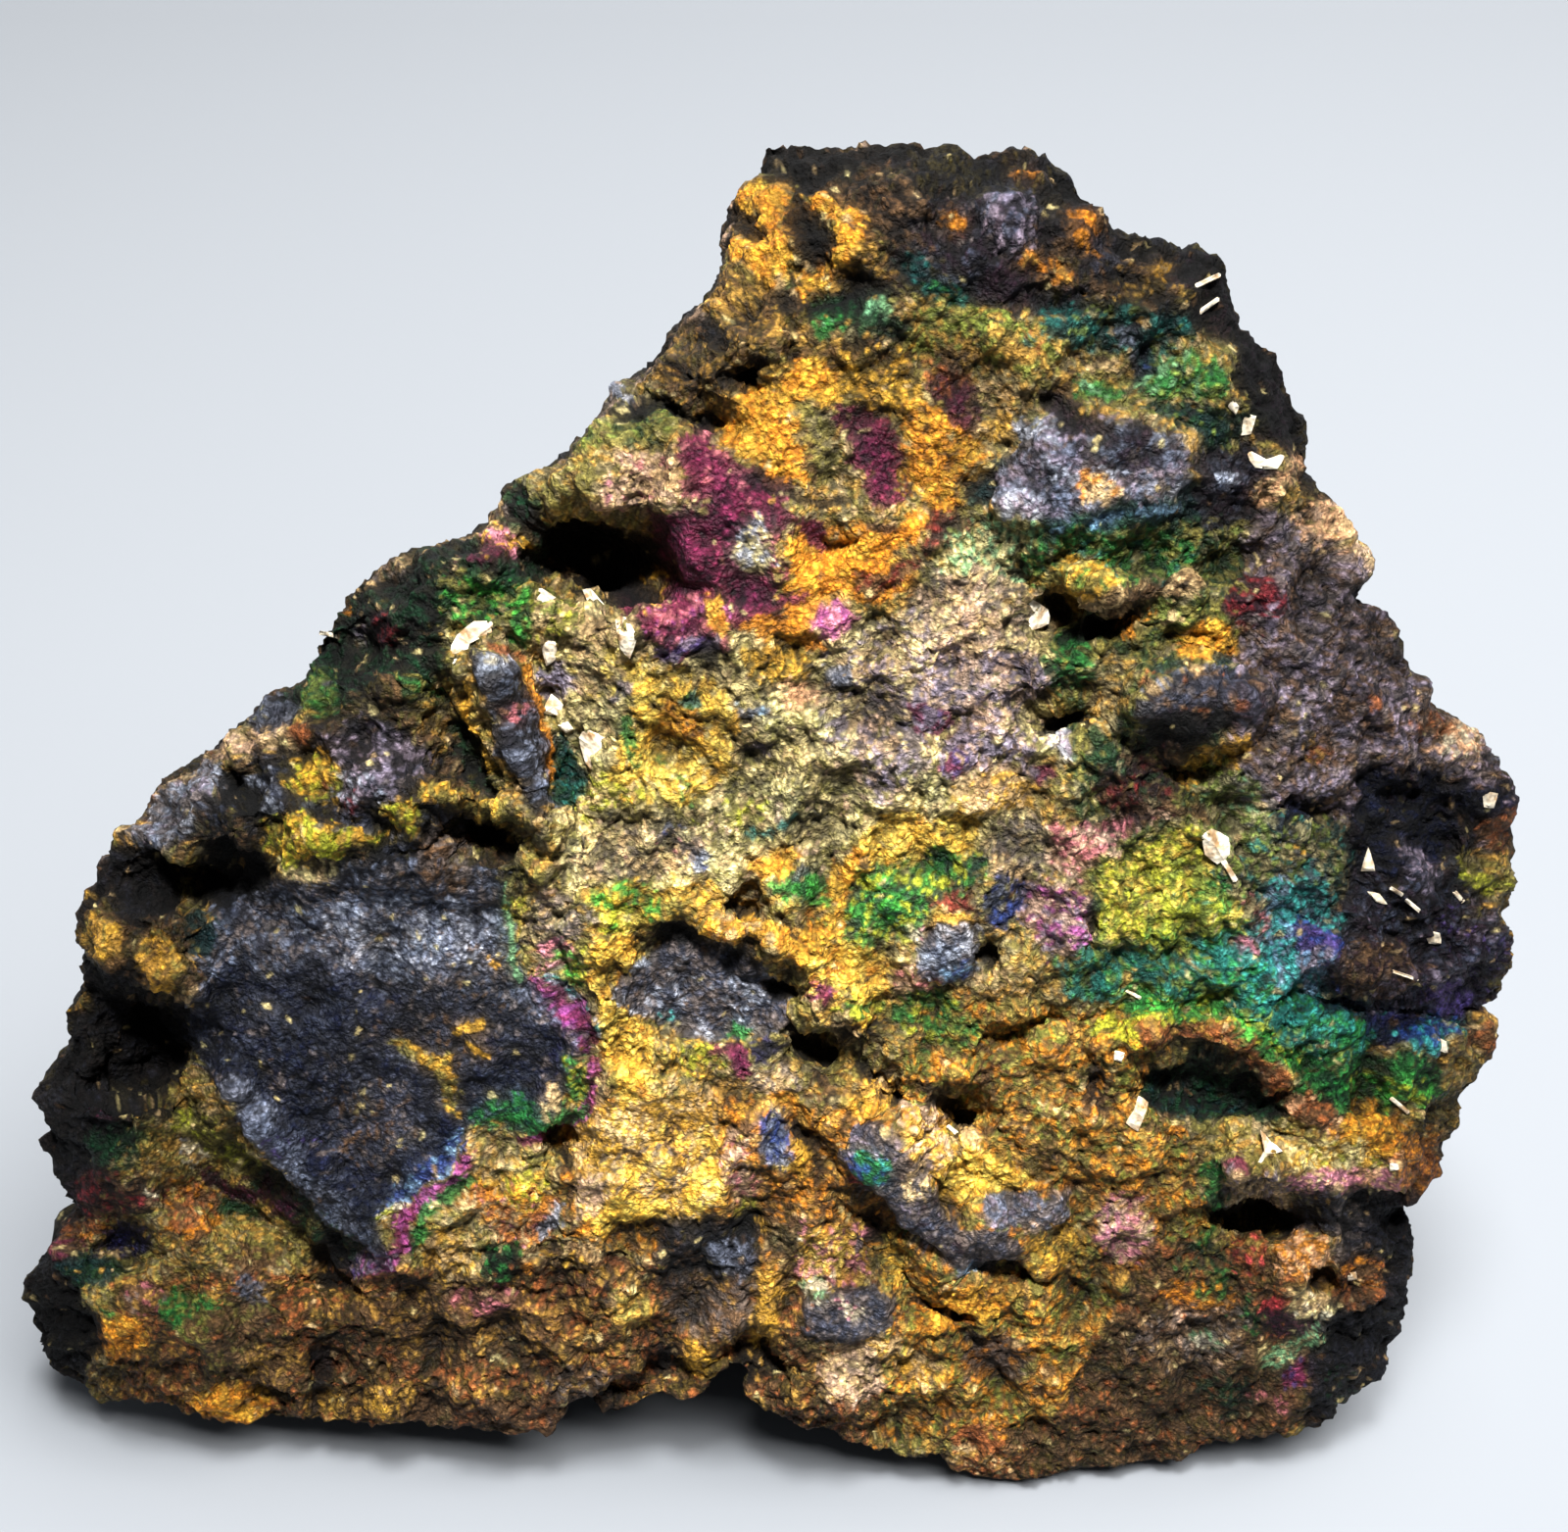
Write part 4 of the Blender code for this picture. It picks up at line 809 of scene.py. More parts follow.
def paint_centre_slabs():
    """The yellow crust, the sunken slab and the gold ledge round it, with black painted as shade in the gaps
    and cracks.
    """
    area("gold yellow gold amber", 1, (-15.6, 50.5), (-13.5, 50.8), (-11.5, 50), (-10.8, 48.5),
        (-12.3, 47.4), (-14, 46.8), (-13, 45.2), (-11.3, 44), (-10.3, 42.8), (-9.8, 41.5), (-11, 39.5),
        (-10.5, 38.5), (-11.5, 36.8), (-12.8, 37), (-13.5, 39.3), (-15.2, 40.3), (-14.6, 43), (-15, 46))
    blob("lime yellow", 0.9, (-12.6, 52), (1.9, 1.4))
    area("slate greybrown slate silver", 1, (-13.3, 46.8), (-10.2, 49.2), (-9.3, 51.6), (-6, 51), (-4, 50.5),
        (-2.2, 49.8), (-0.8, 48), (0.7, 46), (0.3, 44), (-0.5, 42.5), (-2.4, 42.4), (-4.5, 42), (-6, 41.4),
        (-8, 42.3), (-9.8, 43.8), (-12, 44.2), (-13.5, 45.5))
    blob("silver", 0.9, (-11, 48.3), (0.9, 0.6))
    # Painted shade: black in the gaps round the sunken slab.
    vein("black", 1, 0.8, (-9.3, 51.2), (-6, 50.8), (-3, 50))
    blob("black charcoal", 0.95, (-3.2, 48.6), (1.3, 1.5))
    blob("black", 0.95, (-0.4, 46.3), (1.1, 1.3))
    vein("black", 1, 0.6, (0.5, 43), (1.5, 41.5), (3.2, 41.2))
    vein("black", 1, 0.5, (-4.2, 53.8), (-3, 52.4))
    vein("black", 1, 0.3, (-0.5, 52.8), (0.8, 50.8))
    blob("navy indigo", 1, (-1.4, 41.2), (1.1, 0.9))
    blob("cyan", 1, (-9, 44.2), (0.4, 0.4))
    blob("green", 1, (-3.4, 42.6), (0.8, 0.6))
    area("magenta darkmagenta magenta", 1, (-7, 41), (-5, 41.8), (-3, 41.3), (-2.5, 40), (-3, 38),
        (-3.6, 38.2), (-4.3, 40), (-6.5, 40.3))
    blob("lime gold", 0.5, (-7.3, 40), (2.3, 1.8))
    vein("tan gold amber", 1, 1, (-5.5, 51.2), (-2.5, 51.5), (-0.5, 50.8), (1.5, 49), (3.5, 48.8))
    blob("amber gold", 0.9, (2.7, 50.3), (2.2, 3))
    area("gold yellow gold amber", 1, (5, 50.5), (7.5, 49.5), (8.5, 47.5), (8.3, 45), (7, 42.8), (5.5, 43.3),
        (5, 46), (2.2, 46.8), (1.5, 48.3), (3, 49.5))
    blob("orchid magenta", 0.8, (2.9, 46.2), (0.9, 0.8))
    blob("lime green", 0.5, (6, 45), (2, 1))
    blob("tan brown", 0.9, (4.7, 42.5), (1.2, 1.5))
    blob("pinktan brown rose", 0.9, (10.4, 46.8), (1.5, 1.7))
    blob("lime green olivegreen", 0.6, (12, 43.5), (3, 2.5))
    area("greybrown slate silver greybrown", 1, (10.5, 50), (12.5, 52.4), (14, 53), (15, 52), (15, 48),
        (12.5, 46.8), (11, 47.8))
    blob("blue sky", 0.9, (13.5, 47.8), (1.5, 0.8))
    blob("redbrown brown", 0.9, (13.2, 54), (1.8, 1))
    blob("cream pink", 0.95, (10.7, 51.3), (0.8, 0.8))
    vein("gold", 1, 0.3, (12.2, 52.7), (14.5, 52.7))
    # Painted shade: black in the cracks.
    vein("black", 1, 0.9, (6, 39.6), (8, 38.2), (9, 37))
    vein("black", 1, 1.1, (12, 36.8), (14, 35), (14.6, 33.6))
    vein("black", 1, 0.4, (11, 38), (12.8, 37))
    vein("brown brownblack", 1, 0.5, (2.6, 39), (3.6, 37))
    blob("gold amber", 0.9, (0, 37), (1.3, 1.1))
    blob("gold ochre brown", 0.9, (7, 36.8), (2.1, 1.7))
    area("tan gold pinktan gold", 0.95, (9.5, 36), (12.5, 36), (13.5, 32), (12.8, 29), (10.5, 29))
    blob("tan gold", 0.95, (15, 32), (1.1, 2))
    area("steel blue steel", 1, (-2, 35.5), (0.2, 36), (0.3, 33), (0.8, 31.2), (-0.3, 30.3), (-1.8, 31.5),
        (-2.2, 33.5))
    blob("silver yellow", 1, (0.2, 30.9), (0.7, 0.5))
    blob("greybrown tan", 0.8, (-0.3, 38.6), (2.2, 1.2))
    # Painted shade in a crack.
    vein("black", 1, 0.35, (1, 34.3), (2.5, 31.5), (3.2, 30.3))
    blob("gold", 0.95, (1.2, 31.8), (0.8, 1.8))
    area("plumblack slate greybrown lilacgrey", 1, (4.5, 35.5), (6.5, 34.8), (9.3, 33.5), (10.2, 32),
        (11.5, 31.5), (12.3, 28.5), (14, 25.5), (15.5, 24.5), (15.5, 21.5), (12.5, 22.5), (10.2, 24.8),
        (8.5, 26), (7.5, 27.5), (5.8, 27.8), (6.2, 29.5), (5, 31.5), (6, 33))
    blob("tan greybrown", 0.95, (10.7, 29.5), (1.2, 1.6))
    blob("cyan green blue", 1, (7.2, 30.5), (1.3, 1))
    blob("red", 1, (5.8, 29.8), (0.4, 0.3))
    blob("green", 0.7, (9.9, 24.5), (0.7, 0.5))
    # Painted shade in the crack.
    vein("black", 1, 0.55, (6.3, 26.5), (8, 24.5), (9.8, 21.8), (10, 20.5))


def paint_lower_middle():
    """The smooth golden field, the grains below it and the slabs near the lip."""
    blob("rose tan pinktan", 0.9, (-3.2, 28.5), (1.4, 1.7))
    blob("brown pinktan rose", 0.9, (-4.5, 32.5), (1.6, 1.7))
    blob("lime yellow", 0.9, (-3, 26), (1.2, 1.1))
    area("ochre gold tan ochre", 0.95, (-17, 37), (-11, 36.8), (-6, 37), (-5, 33), (-5, 27), (-9, 25.5),
        (-17, 26))
    blob("brown ochre", 0.85, (-9, 33.5), (1.1, 2.8))
    for step in range(10):
        start = -17 + 1.3 * step
        vein("brown greybrown ochre", 0.55, 0.3, (start, 25.5 + 0.2 * step), (start + 1.2, 29),
            (start + 3, 32.5))
    for step in range(7):
        start = -16.5 + 1.7 * step
        vein("yellow gold", 0.4, 0.3, (start, 27), (start + 1.8, 31), (start + 3.4, 34.5))
    blob("yellow gold yellow", 0.95, (-13, 26.2), (3.4, 1.8))
    blob("gold yellow", 0.9, (-6.5, 29), (1.6, 2.2))
    blob("tan pinktan", 0.95, (-15.7, 28.2), (1.3, 1.8))
    vein("tan brown", 0.9, 0.5, (-13.5, 33.5), (-12, 31.5))
    area("brownblack black charcoal brown", 0.95, (-10.5, 26), (-2, 26), (-1.5, 19), (-10.5, 19))
    blob("slate steel", 0.85, (-4.3, 21.5), (1.9, 1.6))
    blob("brown darkolive tan", 0.9, (1, 23), (2.2, 3))
    blob("gold", 0.95, (-1.8, 24.5), (0.8, 0.5))
    area("palecream yellow pink gold cream", 0.95, (1, 25), (7, 25.5), (7.2, 19.5), (1, 19.5))
    blob("lilacgrey", 0.8, (6.1, 23), (0.5, 1.1))
    blob("olive gold", 0.9, (9, 22.3), (1.1, 2.9))
    blob("brown darkolive", 0.8, (21, 32), (1.2, 2.2))
    blob("brown brownblack", 0.8, (25.5, 37), (1.6, 2.1))
    area("gold yellow gold amber", 1, (13, 31), (15.5, 33), (18, 31.5), (21, 29.5), (19, 28.3), (16.5, 28),
        (13.5, 27))
    area("lilacgrey greybrown steel pinktan", 1, (16, 27), (18, 28.3), (21, 28), (23.3, 28.3), (23.5, 25.8),
        (20.5, 25), (17, 25.2))
    area("plumblack greybrown slate brownblack", 1, (12.5, 25), (16, 25.3), (18.8, 24.3), (19.4, 22.3),
        (15.5, 22.2), (13.5, 22.8))
    # Painted glint.
    blob("silver sky steel", 0.95, (15.5, 21.4), (1.2, 0.7))
    # Painted shade in a crack.
    vein("black", 1, 0.6, (16, 22), (19.5, 21.3), (20, 20.5))
    blob("olive gold ochre", 0.9, (22.5, 23), (2.6, 2.1))
    blob("tan pink pinktan ochre", 0.9, (28, 25), (2.2, 3.2))
    area("slate greybrown slate charcoal", 1, (1.3, 17.8), (3, 18.2), (4, 19.3), (7, 19.5), (8.8, 19),
        (9.3, 16.5), (8, 15), (5, 14), (3, 14.8), (1.8, 16.3))
    blob("cream pink", 0.95, (4.9, 17.6), (1.2, 0.7))
    blob("mint cream", 0.9, (2.4, 19.5), (1.2, 1.1))
    area("amber gold amber", 1, (10.8, 15.5), (12, 16.8), (14, 19.3), (17, 19.8), (18.5, 19), (17.5, 16.8),
        (14.5, 16.5), (14.5, 14.8), (11.5, 14.8))
    # Painted shade in a crack.
    vein("black", 1, 0.35, (10.8, 18.3), (12.5, 17.2), (14.8, 16.8))
    blob("greybrown brown", 0.9, (-6, 17.5), (4.2, 2.6))
    blob("olive ochre gold", 0.9, (-12.5, 17.2), (1.7, 2.4))
    vein("gold ochre", 1, 0.9, (-1.2, 20.5), (-1.5, 15))
    blob("gold", 0.9, (-7.2, 12.5), (1.2, 1.6))
    blob("black brownblack", 0.9, (-10, 12.2), (1.6, 1.3))
    blob("black brownblack", 0.9, (-2.3, 12.5), (1.8, 2))
    blob("black", 0.95, (9.5, 5.5), (0.6, 1))
    blob("black", 0.95, (12.7, 2.7), (1.3, 0.8))
    blob("greybrown brown", 0.85, (17.5, 12.5), (2.6, 2.6))
    vein("gold tan", 0.9, 1.1, (8, 14.5), (12, 10.8))
    blob("tan pinktan", 0.85, (5.5, 11), (2.6, 3))
    blob("ochre rust tan", 0.9, (17.2, 3), (2.8, 2.2))
    blob("rust", 0.8, (16, 5), (2, 1.1))


def paint_crust_shelf():
    """The olive-yellow crust above the steel plate, on charcoal, with its gaps and the cave painted black as
    painted shade.
    """
    blob("charcoal brownblack slate", 0.9, (-34, 62), (9.5, 5))
    for middle, reach in [((-38.5, 59.5), (2.6, 2.1)), ((-34, 59), (3.1, 1.1)), ((-29.5, 61.2), (1.6, 1.4)),
        ((-36, 64.2), (2.1, 1.9))]:
        blob("olive gold lime ochre", 0.9, middle, reach)
    for place in [(-35.5, 63.5), (-33, 62), (-32.5, 62.5)]:
        blob("redbrown", 0.9, place, (0.6, 0.4))
    blob("steel charcoal silver", 0.5, (-40, 63), (1.8, 1.6))
    blob("greybrown silver lilacgrey charcoal", 0.7, (-32.5, 63.5), (1.9, 1.6))
    blob("palecream tan", 0.8, (-37.5, 56.7), (2.6, 0.7))
    blob("greybrown brown", 0.85, (-26, 57.5), (2.1, 2.6))
    # Painted shade: black in the gaps and the cave.
    for middle, reach in [((-43.5, 55.5), (3.4, 2.6)), ((-42.3, 63.2), (1.8, 1.8)), ((-44, 59), (1.1, 1.1)),
        ((-31.5, 58), (1.6, 0.6))]:
        blob("black", 0.95, middle, reach)
    # Painted shade in a gap.
    area("black", 1, (-25, 58.5), (-25, 60.4), (-22.5, 61), (-20.8, 60), (-21.5, 58.6))
    vein("gold olive ochre", 1, 0.6, (-27.5, 62.8), (-24.5, 62.3), (-22, 61.2), (-20.6, 60.6))
    blob("amber", 1, (-24.3, 59.1), (0.35, 0.3))


def paint_plate():
    """The smooth steel-grey plate: pale streaks above, navy below, gold threads and its bright fringe."""
    blob("greybrown steel slate silver brown", 0.8, (-29.5, 51.3), (7, 4))
    blob("greybrown charcoal slate brown", 0.6, (-27, 44), (6, 3.6))
    blob("navy slate charcoal", 0.9, (-37, 45.5), (5.2, 3.6))
    blob("greybrown slate brown", 0.85, (-33.5, 34.8), (3.6, 3.9))
    vein("gold olive", 1, 0.6, (-31, 41.8), (-29, 40.8), (-27.2, 40), (-26.8, 38.5), (-26.7, 36))
    vein("gold", 0.9, 0.45, (-25.8, 43), (-24.2, 43.4))
    vein("gold", 0.9, 0.35, (-25, 42), (-23.8, 40.8))
    vein("gold", 0.9, 0.3, (-23.2, 49.2), (-22.6, 48.6))
    vein("mint", 1, 0.3, (-21.5, 55), (-21.3, 50), (-20.8, 47.5))
    blob("lime yellow", 0.9, (-20.5, 53.5), (0.7, 1.7))
    blob("pinktan greybrown olivegrey tan", 0.9, (-17.6, 52.6), (2.6, 2.6))
    blob("pink rose greybrown", 0.8, (-18, 49.7), (1.4, 1.2))
    blob("green brightgreen lime", 0.7, (-16.4, 48.3), (1.2, 1.8))
    vein("silver cyan", 0.8, 0.35, (-18.4, 47.6), (-17.1, 46), (-16.2, 44.6), (-15.2, 43.2), (-14.8, 41.8))
    vein("orchid magenta", 1, 0.6, (-19.3, 47.5), (-18, 46), (-17.2, 44.8), (-16, 43.2), (-15.6, 41.7))
    blob("green lime green", 0.9, (-16.4, 38.5), (0.9, 2.6))
    blob("navy indigo", 1, (-17.6, 40.5), (0.6, 1.6))
    vein("magenta orchid", 1, 0.45, (-15.3, 40), (-15.2, 38.5), (-15.7, 36.3), (-16.5, 34.8), (-19, 33.8),
        (-21.2, 33.2))
    blob("darkgreen green darkteal", 0.9, (-20.5, 35.2), (4.4, 1.6))
    blob("navy", 1, (-27, 34), (1.1, 1))
    blob("tan", 1, (-18.5, 37), (0.6, 1.5))
    blob("olivegrey olive", 0.9, (-21, 56), (1.1, 2))


def paint_ridge():
    """The blue-grey ridge under the plate, its magenta and green seams, and the orange grains beside it."""
    vein("slate steel charcoal", 1, 1.1, (-44, 37.5), (-40.5, 32), (-34.5, 23.5))
    blob("violet slate charcoal", 0.8, (-39.6, 33.6), (2.6, 1.3))
    vein("blue sky", 1, 0.55, (-33, 26.5), (-30, 29), (-27, 32), (-26, 34))
    vein("magenta orchid", 1, 0.55, (-34.5, 21.5), (-32.5, 21.3), (-31.8, 23.5), (-31, 26), (-29, 28),
        (-27, 29.5), (-25.5, 31.8))
    area("rose amber tan rust pink", 1, (-27.5, 27), (-25, 29), (-20, 30), (-18.5, 28), (-19, 24), (-21, 23),
        (-23.5, 24), (-25, 26))
    blob("lime gold", 0.5, (-21.5, 29), (2.6, 2))
    vein("green", 1, 0.5, (-30.5, 22.5), (-29.5, 26), (-27, 28.7), (-25, 29.5))
    vein("lime cream", 0.8, 0.35, (-33, 26), (-31.5, 27))
    blob("violet lilacgrey magenta", 0.9, (-34.2, 22), (2.1, 1))
    # Painted glint.
    vein("silver", 1, 0.5, (-19.8, 24.5), (-18.4, 27.3))
    blob("darkgreen black green", 0.9, (-23.2, 22), (1.8, 2))
    blob("amber", 1, (-25.5, 23), (0.4, 0.4))
    blob("amber", 1, (-21, 21), (0.4, 0.4))
    blob("gold tan ochre", 0.9, (-28, 22.2), (2.9, 2.2))
    blob("tan brown gold", 0.9, (-18, 22.2), (2.9, 1.4))
    blob("black", 0.95, (-19.2, 23.1), (0.8, 0.4))
    # Painted shade in a hole.
    blob("black", 0.95, (-17.8, 31.2), (0.7, 1.2))


def paint_lower_left():
    """The lobe at the lower left, its hollows painted dark as painted shade, two painted glints, and its
    streaks of olive, orange and magenta.
    """
    blob("brown brown ochre", 0.85, (-26.5, 16), (8.4, 4))
    blob("rose brown", 0.9, (-24.5, 18.2), (2.6, 1.3))
    blob("greybrown brown", 0.9, (-17.5, 10), (2.6, 2))
    vein("gold ochre brown", 0.95, 1.4, (-39, 8.2), (-32, 8.2))
    vein("brown brown", 0.9, 1.6, (-31, 7), (-15, 7))
    vein("black charcoal", 1, 0.4, (-39.7, 7.5), (-39.2, 10), (-38.3, 12), (-40.5, 12))
    blob("darkmagenta plumblack", 0.7, (-55, 35.2), (2.1, 0.8))
    blob("darkgreen", 0.9, (-53.5, 32.5), (2.6, 1.6))
    # Painted shade in the hollow under the plate.
    blob("black", 0.95, (-50.5, 35.7), (2.6, 1.3))
    blob("olive ochre", 0.9, (-50.5, 32.3), (1.6, 1.3))
    # Pale cream and silver as a painted glint, over brown.
    blob("cream brown silver", 0.9, (-48, 32.3), (1.1, 1.3))
    vein("lime olive darkolive", 1, 1.3, (-48, 34.5), (-46, 33), (-42, 29.5))
    vein("darkgreen darkolive", 1, 1.2, (-42, 29.5), (-39, 26), (-36, 23))
    vein("darkmagenta plumblack", 1, 0.8, (-47, 29.8), (-45, 28.7), (-43, 28.2), (-40.5, 27))
    vein("darkgreen", 1, 0.8, (-46.5, 27.2), (-44, 26.5))
    blob("rust brown amber", 0.9, (-48.5, 26), (2.6, 3.1))
    blob("brown brownblack redbrown", 0.9, (-54.5, 28), (3.6, 2.1))
    # Painted glint.
    vein("cream", 1, 0.25, (-52.1, 28.3), (-51.4, 28.1))
    blob("amber rust brown", 0.95, (-57.3, 24.9), (1.9, 1))
    blob("magenta brown", 0.95, (-59, 22.9), (1.4, 1))
    # Painted shade in a hollow, with dark blue.
    blob("navy indigo black", 0.95, (-53.8, 23.8), (2.4, 1.8))
    blob("darkgreen darkteal", 0.95, (-57, 21), (3.1, 1.6))
    area("black", 1, (-66, 20), (-60, 19.5), (-57, 17), (-57, 12.5), (-66, 12))
    blob("rose brown greybrown", 0.9, (-52.5, 18.5), (2.6, 1.6))
    blob("olivegreen green olive", 0.9, (-49, 16.8), (3.1, 2.3))
    blob("green", 1, (-56.2, 16.9), (0.7, 0.3))
    blob("gold amber ochre", 0.95, (-55.3, 14.5), (1.9, 2.1))
    blob("olive brown darkolive", 0.85, (-45, 14), (4.4, 4.4))
    blob("brown brown", 0.9, (-44, 22), (2.1, 1.6))
    blob("greybrown steel", 0.9, (-44.3, 19), (1.3, 1.1))
    # Painted shade in the notch at the ridge's foot.
    blob("black", 0.95, (-37.3, 21.5), (1.4, 2.6))
    area("gold amber gold", 1, (-51, 8.5), (-49, 9.8), (-46.5, 10), (-44, 9.5), (-43.5, 7), (-45, 6.5),
        (-48, 7.4))
    blob("ochre brown", 0.9, (-43, 12.2), (3, 1.9))


def paint_left_edge():
    """The dark left flank with its gold lumps, and the pale striped strip above it."""
    area("steel greybrown silver lilacgrey", 1, (-50, 60), (-47, 63.5), (-43.5, 66), (-42.6, 64.4),
        (-45, 61), (-48, 57.8), (-50.5, 58))
    vein("rust tan brown", 1, 0.5, (-50.5, 60.5), (-47.6, 63.6), (-44, 66.2))
    vein("tan pinktan", 0.9, 0.9, (-43, 66.6), (-38.5, 67.6))
    blob("slate steel", 0.9, (-39, 69.5), (2.1, 1.6))
    blob("darkteal", 0.9, (-46, 50.7), (1.6, 2.3))
    for middle, reach in [((-53.3, 50.7), (1.4, 1.4)), ((-49, 49.3), (1.7, 2.2)), ((-56.2, 45.2), (1, 0.9))]:
        blob("brown darkolive", 0.9, middle, (reach[0] * 1.7, reach[1] * 1.7))
        blob("gold ochre olive", 0.95, middle, reach)


def paint_column():
    """The upright slate column in its green pocket, and the dark ledges up to the left rim."""
    blob("green olive darkgreen", 0.85, (-27.5, 71.8), (2.1, 0.9))
    blob("olive darkolive ochre", 0.85, (-26.8, 68.5), (1.9, 2.6))
    blob("plumblack redbrown", 0.9, (-30.5, 76), (1.7, 1.2))
    blob("lilacgrey cream", 0.9, (-34.5, 71.8), (1.1, 0.6))
    blob("lilacgrey cream", 0.9, (-31.8, 75.4), (0.9, 0.4))
    blob("amber", 0.9, (-32.9, 77.9), (0.5, 0.5))
    blob("green olivegreen", 0.9, (-35.3, 71), (1.3, 2.1))
    blob("charcoal brownblack lilacgrey charcoal greybrown", 0.9, (-31, 65.8), (3.4, 2.9))
    blob("rust", 0.9, (-36.8, 67.8), (0.9, 0.8))
    area("darkgreen black darkgreen", 1, (-25, 69.5), (-23.8, 69.5), (-22.8, 66), (-21.6, 62), (-24.8, 63.5),
        (-25, 66))
    area("darkteal darkgreen teal", 1, (-18, 68), (-16.5, 67.5), (-15, 64.5), (-15.5, 62), (-17.8, 61.3))
    blob("lilacgrey", 0.9, (-17.3, 71.8), (1.3, 1.3))
    area("slate charcoal brownblack steel charcoal brown", 1, (-23.2, 73.7), (-21.2, 73.8), (-20, 72.5),
        (-18.8, 70), (-18.2, 66), (-18, 61.5), (-19, 61), (-20, 63), (-21.3, 66), (-22.3, 70), (-23.3, 72.5))
    blob("rose brown", 0.6, (-21.1, 69.5), (0.5, 1))
    blob("silver cream", 0.95, (-21.7, 73.4), (0.9, 0.6))
    blob("tan greybrown", 1, (-18.3, 61.4), (0.4, 0.6))
    vein("gold", 1, 0.28, (-23.8, 71.8), (-23.5, 69), (-22.8, 67.2), (-22.5, 64.6))
    vein("rust", 1, 0.35, (-22, 74.4), (-20.3, 73.7))
    vein("amber", 1, 0.28, (-19.8, 73), (-19.2, 70.5), (-18.6, 68.5), (-18.1, 67), (-18.2, 63.8))
    blob("brightgreen green", 0.95, (-19.8, 75.4), (0.8, 1.2))
    area("green darkgreen olive brightgreen darkgreen", 0.9, (-25.8, 80), (-24, 80.3), (-21.5, 79.5),
        (-18.5, 78.6), (-17.5, 77.3), (-19, 76), (-22, 76.8), (-24, 75.6), (-25.3, 76), (-26, 78))
    blob("lime tan olivegreen", 0.85, (-17, 77), (2.1, 2.1))
    vein("brown tan greybrown", 0.95, 1, (-32.5, 79.8), (-29, 81.6), (-26, 83.6), (-21, 84.6))
    blob("gold pink", 0.9, (-20.7, 82.5), (1.3, 1.1))
    blob("darkmagenta", 0.9, (-22.5, 81.4), (1.6, 0.6))


def paint_all():
    """Every mark, from the broad fields to the details."""
    paint_broad_fields()
    paint_top_rim()
    paint_tower()
    paint_upper_right()
    paint_middle_left()
    paint_middle()
    paint_right()
    paint_lower_right()
    paint_centre_slabs()
    paint_lower_middle()
    paint_crust_shelf()
    paint_plate()
    paint_ridge()
    paint_lower_left()
    paint_left_edge()
    paint_column()


def flatten_plates():
    """The stretches where the photo shows plate or smooth crust, not grains."""
    calm(0.4, 0.35, *PLATE)
    calm(0.5, 0.4, (15.5, 85.4), (16.2, 88.4), (20, 92.6), (26, 91), (30, 88), (27, 85.4), (20, 83.4),
        (17, 84))
    calm(0.4, 0.7, (-23.2, 74), (-21.2, 74), (-18.8, 70), (-18, 61), (-19, 61), (-21.3, 66), (-23.3, 72.5))
    calm(0.25, 0.0, (-17, 37), (-5, 37), (-5, 26), (-17, 25))
    calm(0.6, -0.3, (-13.3, 46.8), (-9.3, 51.6), (-2.2, 49.8), (0.7, 46), (-0.5, 42.5), (-6, 41.4),
        (-12, 44.2))
    calm(0.5, -0.6, (-4.2, 81.6), (-2.3, 84.6), (-0.3, 83), (-0.4, 80.2), (-2, 79))
    calm(0.6, 0.6, (26.6, 70.6), (30, 72.3), (35.8, 70.8), (33.5, 68.2), (30, 65.5), (27, 68))
    calm(0.6, 0.0, (31, 104), (37, 93.6), (38.6, 87), (33, 94), (27, 102.5))
    calm(0.2, 0.8, (4.5, 35.5), (9.3, 33.5), (14, 25.5), (15.5, 21.5), (10.2, 24.8), (5, 31.5))
    calm(0.2, 0.7, (1.3, 17.8), (4, 19.3), (8.8, 19), (8, 15), (3, 14.8))
    calm(0.5, 0.0, (3, 86), (9, 92), (14, 90), (12, 84), (0, 75), (-3, 76), (-13, 78), (-9, 85), (-5, 93),
        (2, 95))
    calm(0.3, 0.5, (10.5, 50), (14, 53), (15, 48), (12.5, 46.8))
    calm(0.3, 0.5, (16, 27), (23.3, 28.3), (23.5, 25.8), (19, 22), (12.5, 23))
    calm(0.35, 0.0, (-58, 14), (-58, 30), (-50, 36), (-40, 26), (-46, 12))
    calm(0.35, 0.0, (40, 34), (50, 36), (53, 30), (43, 26), (45, 8), (40, 12), (40, 25))


# The dense surface.
def solid_arrays():
    """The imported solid's corners in mm, each once, and its triangles."""
    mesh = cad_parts[STONE].data
    mesh.calc_loop_triangles()
    places = np.empty(len(mesh.vertices) * 3)
    mesh.vertices.foreach_get("co", places)
    corners = np.empty(len(mesh.loop_triangles) * 3, dtype=np.int32)
    mesh.loop_triangles.foreach_get("vertices", corners)
    rounded = np.round(places.reshape(-1, 3) / MM, WELD_DIGITS)
    places, number = np.unique(rounded, axis=0, return_inverse=True)
    return places, number.ravel()[corners].reshape(-1, 3)


def split_in_four(places, faces):
    """Each triangle cut into four at the middles of its edges."""
    count = len(places)
    ends = faces[:, [0, 1, 1, 2, 2, 0]].reshape(-1, 2)
    keys = ends.min(axis=1).astype(np.int64) * count + ends.max(axis=1)
    known, number = np.unique(keys, return_inverse=True)
    middles = (places[known // count] + places[known % count]) / 2
    ab, bc, ca = (number.reshape(-1, 3) + count).T
    a, b, c = faces.T
    parts = [(a, ab, ca), (ab, b, bc), (ca, bc, c), (ab, bc, ca)]
    return np.vstack([places, middles]), np.concatenate([np.stack(part, axis=1) for part in parts])


def summed_at(numbers, values, count):
    """Values added up at the points whose numbers are given."""
    return np.stack([np.bincount(numbers, values[:, k], count) for k in range(values.shape[1])], axis=1)


